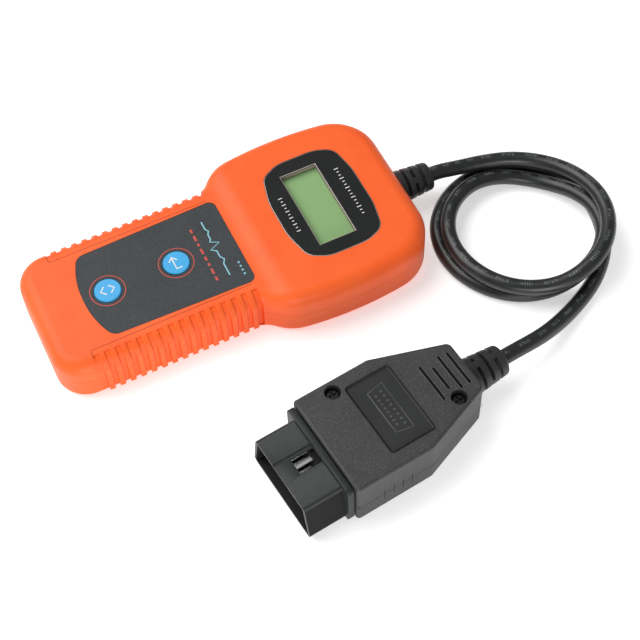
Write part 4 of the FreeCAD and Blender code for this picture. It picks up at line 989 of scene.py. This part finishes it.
def print_mask(material, length_mm):
    """Where the jacket is printed: short upright strokes in groups along one narrow line.

    A stroke fills the middle of its step, and a group the first half of its own, and a noise
    wears the print thin in places.
    """
    coordinates = add_node(material, "ShaderNodeTexCoord")
    parts = add_node(material, "ShaderNodeSeparateXYZ")
    link(material, coordinates.outputs["UV"], parts.inputs["Vector"])
    along = math_node(material, "MULTIPLY", parts.outputs["X"], length_mm)
    line = band(material, parts.outputs["Y"], PRINT_LOW, PRINT_HIGH)
    stroke = math_node(material, "FRACT", math_node(material, "DIVIDE", along, STROKE_MM), 0.0)
    strokes = band(material, stroke, 0.15, 0.62)
    group = math_node(material, "FRACT", math_node(material, "DIVIDE", along, GROUP_MM), 0.0)
    groups = band(material, group, 0.0, 0.55)
    worn = spread_of(material, object_noise(material, 0.7), 0.38, 0.56)
    mask = math_node(material, "MULTIPLY", math_node(material, "MULTIPLY", line, strokes), groups)
    return math_node(material, "MULTIPLY", mask, worn)


cable_black = jacket("cable_black", cable_length / MM, printed=True)
jacket_end = jacket("jacket_end", 0.0, printed=False)
print("the jacket has", round(cable_length / MM / GROUP_MM), "groups of print")

# %% [markdown]
# ## Display, circuit boards and ink
#
# The display is a reflective green glass. Its character cells are just visible when it is
# off, as a faint grid, so a brick pattern tints it by a few percent. The circuit boards are
# green lacquer over copper, where a pattern of square cells hints at the tracks under it.
# The ink is plain and slightly uneven. The lens's polished edge is an opaque pale brown-grey with a strong
# gloss, a painted highlight for the light in its clear edge.

# %% Display glass
def display_material():
    material, shader = start_material("display_green", 0.12)
    coordinates = add_node(material, "ShaderNodeTexCoord")
    cells = add_node(material, "ShaderNodeTexBrick", offset=0.0)
    cells.inputs["Color1"].default_value = (0.255, 0.425, 0.180, 1.0)
    cells.inputs["Color2"].default_value = (0.260, 0.430, 0.182, 1.0)
    cells.inputs["Mortar"].default_value = (0.267, 0.442, 0.188, 1.0)
    cells.inputs["Scale"].default_value = 1.0
    cells.inputs["Brick Width"].default_value = 4.2 * MM
    cells.inputs["Row Height"].default_value = 6.0 * MM
    cells.inputs["Mortar Size"].default_value = 0.35 * MM
    link(material, coordinates.outputs["Object"], cells.inputs["Vector"])
    cloud = spread_of(material, object_noise(material, 20.0), 0.3, 0.7)
    tint = mix_colours(material, cloud, cells.outputs["Color"], (0.265, 0.437, 0.192))
    link(material, tint, shader.inputs["Base Color"])
    fine = object_noise(material, 0.4)
    link(material, spread_of(material, fine, 0.3, 0.7, 0.10, 0.16), shader.inputs["Roughness"])
    return material


def board_material():
    material, shader = start_material("board_green", 0.3)
    tracks = add_node(material, "ShaderNodeTexVoronoi", distance="MANHATTAN", feature="DISTANCE_TO_EDGE")
    tracks.inputs["Scale"].default_value = 1.0 / (2.2 * MM)
    coordinates = add_node(material, "ShaderNodeTexCoord")
    link(material, coordinates.outputs["Object"], tracks.inputs["Vector"])
    raised = spread_of(material, tracks.outputs["Distance"], 0.04, 0.09)
    tint = mix_colours(material, raised, (0.03, 0.22, 0.07), (0.012, 0.12, 0.04))
    link(material, tint, shader.inputs["Base Color"])
    add_bump(material, shader, raised, 0.03)
    return material


def ink_material(name, colour):
    material, shader = start_material(name, 0.5)
    patchy = spread_of(material, object_noise(material, 0.5), 0.3, 0.7)
    tint = mix_colours(material, patchy, colour, tuple(part * 0.86 for part in colour))
    link(material, tint, shader.inputs["Base Color"])
    return material


display_green = display_material()
board_green = board_material()
ink_white = ink_material("ink_white", (0.86, 0.86, 0.84))
ink_red = ink_material("ink_red", (0.60, 0.070, 0.050))
ink_blue = ink_material("ink_blue", (0.26, 0.62, 0.74))
lens_edge_highlight = moulded("lens_edge_highlight", (0.42, 0.36, 0.33), (0.36, 0.31, 0.28), 0.14, 0.8, 0.002, specular=0.8)

# %% [markdown]
# ## Dressing the parts
#
# The CAD parts keep their meshes and only get new materials in their slots. A table from
# finish to parts says who wears what, and the loop reports any part that it left out.

# %% Finishes on the CAD parts
WEARS = {
    case_orange: ["front_cover", "rear_cover"],
    keypad_charcoal: ["keypad_film"],
    key_blue: ["enter_button", "scroll_button"],
    display_green: ["display_glass"],
    gasket_brown: ["display_gasket"],
    light_guide: ["backlight_panel", "board_socket", "wire_housing"],
    board_green: ["display_board", "main_board"],
    chip_black: [
        "enter_switch_base", "enter_switch_stem", "scroll_switch_base", "scroll_switch_stem",
        "display_header", "controller_chip", "transceiver_chip", "voltage_regulator"],
    trimmer_blue: ["contrast_trimmer"],
    tinned_brass: ["header_pins", "chip_legs", "connector_pins"],
    bright_steel: ["display_frame", "board_screws", "crystal", "capacitors", "plug_cable_clamp"],
    dark_steel: ["case_screws", "plug_screws"],
    plug_grey: ["plug_top_shell", "plug_bottom_shell"],
    # The pin carrier sits in the well and wears its painted shade.
    painted_shade_black: ["pin_carrier"],
    wire_red: ["lead_wires", "plug_wires"],
    jacket_end: ["handset_jacket_end", "plug_jacket_end"],
}


def wear(piece, *materials):
    piece.data.materials.clear()
    for material in materials:
        piece.data.materials.append(material)


dressed = set()
for material, names in WEARS.items():
    for name in names:
        for material_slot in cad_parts[name].material_slots:
            material_slot.material = material
        dressed.add(name)
print("left for pieces below:", sorted(set(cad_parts) - dressed))

# %% [markdown]
# ## Dressing the new pieces and joining them to the frame
#
# Each new piece rides on the body that carries it. The signs on the keys ride on their
# keys, so they sink with them when a key is pressed. The CAD parts that new pieces stand
# in for are hidden.

# %% Ride, replace and slot
wear(cable, cable_black)
for boot in (handset_boot, plug_boot):
    boot.data.materials[0] = boot_rubber
    # The sunk slot faces wear painted shade.
    boot.data.materials[1] = painted_shade_black
wear(lens, lens_black, lens_edge_highlight)
shroud.data.materials[0] = shroud_black
# The well faces wear painted shade.
shroud.data.materials[1] = painted_shade_black
wear(red_print, ink_red)
wear(blue_print, ink_blue)
for piece in (lens_print, enter_print, scroll_print):
    wear(piece, ink_white)
# The sign and the slot rims wear a paler grey, a painted highlight on their edges.
for piece in (plug_sign, slot_rim_piece):
    wear(piece, rim_painted_highlight)
# The seam's line is painted shade. The side bars wear the same near-black.
for piece in (side_bar_piece, seam_shade_piece):
    wear(piece, seam_shade_and_bars)
wear(label_plate, label_smooth)
# The strips on the slot floors are painted shade.
wear(slot_shade_piece, painted_shade_black)
wear(grip_shade_lines, grip_step_shade_orange)

PLUG_PIECES = [
    plug_boot, plug_sign, label_plate, slot_rim_piece, slot_shade_piece, side_bar_piece, seam_shade_piece, shroud]
CASE_PIECES = [handset_boot, lens, red_print, blue_print, lens_print, grip_shade_lines]
for piece in [cable] + CASE_PIECES + PLUG_PIECES:
    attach(piece, "root")
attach(enter_print, "enter_key")
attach(scroll_print, "scroll_key")

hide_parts("cable_lead", "cable_coil", "cable_tail")
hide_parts("handset_strain_relief")
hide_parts("plug_strain_relief")
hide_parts("display_bezel")
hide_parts("connector_shroud")

# %% [markdown]
# ## Floor and light
#
# The reader lies on a lit white table under one large softbox, which hangs overhead, to the
# left and a little behind. On its own it would leave the near sides dark, so the table's
# own light and a low lamp in front lift them. White has to stay white, so the plain view
# transform is used.

# %% Floor, lamps and surroundings
FLOOR_GLOW = 0.48


def add_floor():
    deselect()
    bpy.ops.mesh.primitive_plane_add(size=6.0, location=(0, 0, 0))
    floor = bpy.context.object
    floor.name = "floor"
    material, shader = start_material("floor_white", 0.6, specular=0.2)
    paper = spread_of(material, object_noise(material, 60.0), 0.3, 0.7)
    tint = mix_colours(material, paper, (0.93, 0.93, 0.93), (0.90, 0.90, 0.905))
    link(material, tint, shader.inputs["Base Color"])
    shader.inputs["Emission Color"].default_value = (1.0, 1.0, 1.0, 1.0)
    shader.inputs["Emission Strength"].default_value = FLOOR_GLOW
    wear(floor, material)


def add_area_light(name, place, target, size, power):
    data = bpy.data.lights.new(name, "AREA")
    data.shape = "DISK"
    data.size = size
    data.energy = power
    lamp = bpy.data.objects.new(name, data)
    bpy.context.scene.collection.objects.link(lamp)
    lamp.location = place
    direction = Vector(target) - Vector(place)
    lamp.rotation_euler = direction.to_track_quat("-Z", "Y").to_euler()
    print(name, "is", round((Vector(place) - Vector(target)).length, 2), "m away,", power, "W")


def add_surroundings(strength):
    world = bpy.data.worlds.new("white_room")
    world.use_nodes = True
    background = world.node_tree.nodes["Background"]
    background.inputs["Color"].default_value = (1.0, 1.0, 1.0, 1.0)
    background.inputs["Strength"].default_value = strength
    bpy.context.scene.world = world


MIDDLE = mm(45, 40, 0)  # Of the reader, the coil and the plug together.
add_floor()
add_surroundings(strength=0.30)
add_area_light("big_softbox", place=(-0.60, -0.50, 1.10), target=MIDDLE, size=1.4, power=19.0)
add_area_light("low_fill", place=(0.85, -0.25, 0.14), target=MIDDLE, size=0.6, power=5.5)
bpy.context.scene.view_settings.view_transform = "Standard"
